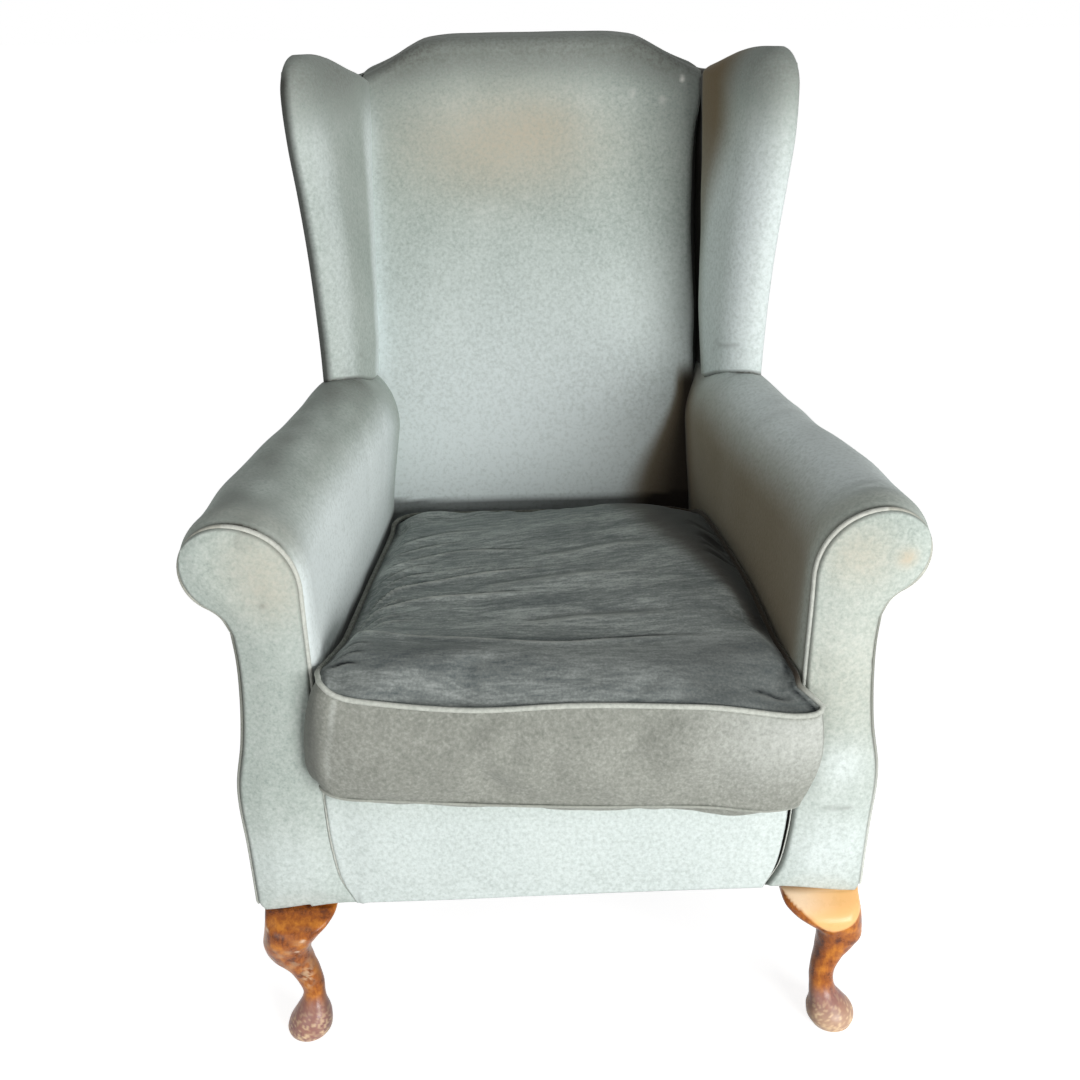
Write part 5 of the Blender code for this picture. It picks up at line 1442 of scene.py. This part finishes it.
    high = follow(topRing, 0.0010, 0.0012)
    inShade = np.repeat(smooth(-0.020, 0.010, high[:, 1]), 10)
    atRight = np.repeat(high[:, 0] > 0, 10)
    # painted shade on the piping behind the front, brown-black at the right, and paler where it is lit
    pipePiece("cushionPipingTop", high, 0.0030, cottonVelourPiping, [], closed=True,
              marks={"dirt": 0.70 * inShade, "bleach": 0.20 * (1 - inShade), "grime": inShade * atRight,
                     "soil": 0.8 * inShade * atRight})
    low = follow(bottomRing, -0.0005, 0.0008)
    low[:, 2] = np.where(low[:, 1] > -0.004, np.maximum(low[:, 2], shape["deckTop"] + 0.0030), low[:, 2])
    # painted shade on the lower piping, darkest behind the front
    pipePiece("cushionPipingBottom", low, 0.0016, cottonVelourPiping, [], closed=True,
              marks={"dirt": np.repeat(0.2 + 0.7 * smooth(-0.020, 0.010, low[:, 1]), 10)})


makeCushion()
print("armchair: seat cushion made")


# Legs

legShape = {
    # height, middle across, half width, middle along, half depth, squareness
    "left": ((0.1715, 0.2945, 0.0415, 0.0305, 0.0335, 6.0), (0.1655, 0.2955, 0.0405, 0.0240, 0.0370, 5.5),
             (0.1590, 0.2978, 0.0382, 0.0200, 0.0420, 4.5), (0.1490, 0.3025, 0.0348, 0.0138, 0.0423, 3.2),
             (0.1400, 0.3072, 0.0312, 0.0065, 0.0355, 2.8), (0.1300, 0.3118, 0.0280, 0.0005, 0.0265, 2.5),
             (0.1180, 0.3125, 0.0258, 0.0000, 0.0215, 2.3), (0.1035, 0.3085, 0.0236, 0.0020, 0.0190, 2.2),
             (0.0870, 0.2984, 0.0183, 0.0030, 0.0160, 2.1), (0.0708, 0.2913, 0.0150, 0.0020, 0.0140, 2.0),
             (0.0545, 0.2878, 0.0128, 0.0000, 0.0128, 2.0), (0.0450, 0.2885, 0.0145, -0.0015, 0.0148, 2.0),
             (0.0347, 0.2900, 0.0196, -0.0035, 0.0200, 2.0), (0.0260, 0.2920, 0.0232, -0.0045, 0.0235, 2.0),
             (0.0170, 0.2941, 0.0252, -0.0050, 0.0250, 2.0), (0.0080, 0.2960, 0.0248, -0.0055, 0.0245, 2.0),
             (0.0033, 0.2970, 0.0222, -0.0060, 0.0220, 2.0)),
    "right": ((0.1715, 0.2945, 0.0440, 0.0305, 0.0335, 6.0), (0.1612, 0.2952, 0.0439, 0.0210, 0.0410, 5.0),
              (0.1506, 0.3004, 0.0405, 0.0135, 0.0425, 3.6), (0.1375, 0.3097, 0.0329, 0.0050, 0.0350, 2.8),
              (0.1285, 0.3167, 0.0262, -0.0005, 0.0270, 2.5), (0.1164, 0.3173, 0.0255, -0.0030, 0.0225, 2.4),
              (0.1048, 0.3137, 0.0226, -0.0040, 0.0195, 2.2), (0.0910, 0.3072, 0.0180, -0.0060, 0.0165, 2.1),
              (0.0754, 0.3013, 0.0152, -0.0080, 0.0145, 2.0), (0.0598, 0.2993, 0.0140, -0.0100, 0.0138, 2.0),
              (0.0442, 0.3014, 0.0158, -0.0130, 0.0155, 2.0), (0.0333, 0.3060, 0.0208, -0.0160, 0.0205, 2.0),
              (0.0232, 0.3089, 0.0264, -0.0180, 0.0255, 2.0), (0.0120, 0.3110, 0.0265, -0.0200, 0.0260, 2.0),
              (0.0033, 0.3125, 0.0225, -0.0205, 0.0222, 2.0)),
    "rings": 100, "sides": 56,
    # lower edge of the painted light on the right knee
    "paleX": (0.2461, 0.2601, 0.2801, 0.2921, 0.3049, 0.3183, 0.3292, 0.3400),
    "paleZ": (0.1745, 0.1655, 0.1523, 0.1407, 0.1360, 0.1396, 0.1461, 0.1560),
}


def makeFrontLeg(side):
    stations = np.array(legShape[side])[::-1]
    z = np.linspace(stations[0, 0], stations[-1, 0], legShape["rings"])
    columns = [softInterp(z, stations[:, 0], stations[:, k])[:, None] for k in range(1, 6)]
    midX, halfX, midY, halfY, square = columns
    angle = 2 * math.pi * np.arange(legShape["sides"])[None, :] / legShape["sides"]
    c, s = np.cos(angle), np.sin(angle)
    x = midX + halfX * np.sign(c) * np.abs(c) ** (2 / square)
    y = midY + halfY * np.sign(s) * np.abs(s) ** (2 / square)
    height = z[:, None] + 0 * x
    points = np.stack([x, y, height], -1)
    out = np.stack([x - midX, y - midY, 0 * x], -1)
    out /= np.maximum(np.linalg.norm(out, axis=-1, keepdims=True), 1e-6)
    points = points + out * (0.0005 * lumps(points, 0.012, 101.0) * smooth(0.165, 0.150, height))[..., None]
    cloudy, broken = lumps(points, 0.010, 111.0), lumps(points, 0.0035, 121.0)
    foot = smooth(0.060, 0.038, height) * 0.80
    # the polish is chipped all round the rim of the foot, and rubbed through at the ankle
    bare = 0.95 * hump(height, 0.007, 0.007) * smooth(-0.25, 0.15, broken)
    bare = bare + 0.75 * smooth(0.10, 0.30, broken) * hump(height, 0.022, 0.016)
    pale, lint = np.zeros_like(x), np.zeros_like(x)
    inFront = y < midY
    if side == "left":
        worn = hump(np.hypot(x - 0.2925, (height - 0.084) * 0.45), 0.0, 0.006) * smooth(-0.15, 0.25, broken)
        bare = bare + 0.8 * worn * inFront
        bare = bare + 0.35 * smooth(0.0, 0.4, cloudy) * hump(height, 0.120, 0.030)
        for speckX, speckZ in ((0.3313, 0.1556), (0.2909, 0.1470), (0.2990, 0.1293)):
            lint = lint + hump(np.hypot(x - speckX, height - speckZ), 0.0, 0.0016) * inFront
    else:
        # painted light on the right knee, with a painted highlight at its upper inner part
        lower = softInterp(x, legShape["paleX"], legShape["paleZ"])
        pale = 0.95 * smooth(-0.0012, 0.0012, height - lower) * smooth(0.030, 0.010, y)
        lint = 0.75 * pale * smooth(0.315, 0.265, x) * smooth(0.148, 0.166, height)
        bare = bare + 0.35 * smooth(0.040, 0.020, height)
    # painted shade on the inner side of each leg, high up
    dark = 0.45 * smooth(0.6, 0.95, -c) * smooth(0.150, 0.120, height)
    marks = {"foot": foot, "bare": bare, "pale": pale, "lint": lint, "dirt": dark + 0 * x}
    addPiece("frontLeg" + side.capitalize(), placed(points, side), ringFaces(*x.shape), stainedBeech,
             ["front_leg_" + side], marks, 60)


rearLeg = {
    # height, middle across, half width, middle along, half depth; the leg and the upright are one board
    "stations": ((0.0033, 0.2440, 0.0130, 0.7000, 0.0130), (0.0500, 0.2443, 0.0140, 0.6600, 0.0145),
                 (0.0900, 0.2445, 0.0150, 0.6280, 0.0165), (0.1300, 0.2445, 0.0160, 0.6000, 0.0180),
                 (0.1650, 0.2445, 0.0160, 0.5830, 0.0175), (0.1720, 0.2445, 0.0120, 0.5805, 0.0150),
                 (0.3000, 0.2445, 0.0120, 0.5802, 0.0150)),
    "upright": ((0.620, 0.2385), (0.9285, 0.2355)), "squareness": 6.0,
}


def makeRearLeg(side):
    stations = [list(row) for row in rearLeg["stations"]]
    for z, x in rearLeg["upright"]:
        stations.append([z, x, 0.0120, float(backY(z)) + 0.0745, 0.0150])
    stations = np.array(stations)
    z = np.concatenate([np.linspace(0.0033, 0.165, 50), np.linspace(0.1665, 0.9285, 30)])
    midX, halfX, midY, halfY = [np.interp(z, stations[:, 0], stations[:, k])[:, None] for k in range(1, 5)]
    bowed = softInterp(z, stations[:, 0], stations[:, 3])[:, None]
    midY = np.where(z[:, None] < 0.165, bowed, midY)
    angle = 2 * math.pi * (np.arange(36)[None, :] + 0.5) / 36
    c, s = np.cos(angle), np.sin(angle)
    power = 2 / rearLeg["squareness"]
    x = midX + halfX * np.sign(c) * np.abs(c) ** power
    y = midY + halfY * np.sign(s) * np.abs(s) ** power
    height = z[:, None] + 0 * x
    points = np.stack([x, y, height], -1)
    marks = {"foot": smooth(0.035, 0.015, height) * 0.6, "bare": 0.8 * hump(height, 0.006, 0.005)}
    addPiece("rearLeg" + side.capitalize(), placed(points, side), ringFaces(*x.shape), stainedBeech,
             ["back_post_" + side], marks, 60)


for legSide in ("left", "right"):
    makeFrontLeg(legSide)
    makeRearLeg(legSide)
print("armchair: legs made")


# Camera, floor and light

view = {"place": (-0.056, -1.731, 1.198), "yaw": 1.60, "pitch": 23.50, "roll": -0.90,
        "focal": 1450, "width": 1080}  # focal length and width in pixels


def makeCamera():
    camera = bpy.data.objects.new("camera", bpy.data.cameras.new("camera"))
    bpy.context.scene.collection.objects.link(camera)
    camera.data.sensor_width = 36
    camera.data.lens = view["focal"] / view["width"] * 36
    camera.data.clip_start, camera.data.clip_end = 0.1, 60
    yaw, pitch, roll = (math.radians(view[k]) for k in ("yaw", "pitch", "roll"))
    ahead = Vector((math.sin(yaw) * math.cos(pitch), math.cos(yaw) * math.cos(pitch), -math.sin(pitch)))
    right = ahead.cross(Vector((0, 0, 1))).normalized()
    up = right.cross(ahead)
    across = right * math.cos(roll) + up * math.sin(roll)
    above = up * math.cos(roll) - right * math.sin(roll)
    camera.location = view["place"]
    camera.rotation_mode = "QUATERNION"
    turned = [[across[k], above[k], -ahead[k]] for k in range(3)]
    camera.rotation_quaternion = Matrix(turned).to_quaternion()
    bpy.context.scene.camera = camera


studio = {
    "world": 0.32, "floorWhite": 0.76, "floorColour": "#e6e6e6",
    # place, aim, width, height, watts
    "key": ((1.55, -2.70, 0.75), (0.0, 0.0, 0.50), 1.7, 1.2, 78.0),
    "fill": ((-1.6, -2.9, 0.9), (0.0, 0.0, 0.45), 1.8, 1.4, 16.0),
}


def makeLight(name):
    place, aim, wide, high, watts = studio[name]
    lamp = bpy.data.lights.new(name, "AREA")
    lamp.shape = "RECTANGLE"
    lamp.size, lamp.size_y, lamp.energy = wide, high, watts
    holder = bpy.data.objects.new(name, lamp)
    bpy.context.scene.collection.objects.link(holder)
    holder.location = place
    holder.rotation_mode = "QUATERNION"
    holder.rotation_quaternion = (Vector(aim) - Vector(place)).to_track_quat("-Z", "Y")


def whiteWhereSeen(tree):
    # 1 for the rays that see the background: camera, glossy and transmission rays
    path = addNode(tree, "LightPath")
    seen = addNode(tree, "Math", {"operation": "ADD", "use_clamp": True},
                   {0: path.outputs["Is Camera Ray"], 1: path.outputs["Is Glossy Ray"]}).outputs[0]
    return addNode(tree, "Math", {"operation": "ADD", "use_clamp": True},
                   {0: seen, 1: path.outputs["Is Transmission Ray"]}).outputs[0]


def makeSurroundings():
    world = bpy.data.worlds.new("studio")
    bpy.context.scene.world = world
    world.use_nodes = True
    tree = world.node_tree
    tree.nodes.clear()
    strength = addNode(tree, "MapRange", {3: studio["world"], 4: 1.0}, {0: whiteWhereSeen(tree)}).outputs[0]
    sky = addNode(tree, "Background", {"Color": (1.0, 1.0, 1.0, 1.0)}, {"Strength": strength})
    addNode(tree, "OutputWorld", {}, {"Surface": sky.outputs[0]})
    material, tree = newMaterial("paleFloor")
    ground = addNode(tree, "BsdfDiffuse", {"Color": studio["floorColour"]}).outputs[0]
    shown = addNode(tree, "MapRange", {3: 0.0, 4: studio["floorWhite"]}, {0: whiteWhereSeen(tree)}).outputs[0]
    glow = addNode(tree, "Emission", {"Color": (1.0, 1.0, 1.0, 1.0)}, {"Strength": shown}).outputs[0]
    both = addNode(tree, "AddShader", {}, {0: ground, 1: glow}).outputs[0]
    addNode(tree, "OutputMaterial", {}, {"Surface": both})
    mesh = bpy.data.meshes.new("floor")
    size = 14.0
    corners = [(-size, -size, 0), (size, -size, 0), (size, size, 0), (-size, size, 0)]
    mesh.from_pydata(corners, [], [(0, 1, 2, 3)])
    mesh.materials.append(material)
    floor = bpy.data.objects.new("floor", mesh)
    bpy.context.scene.collection.objects.link(floor)


makeCamera()
makeSurroundings()
for lampName in ("key", "fill"):
    makeLight(lampName)
bpy.context.scene.view_settings.view_transform = "Standard"
print("armchair: camera, floor and lights placed")
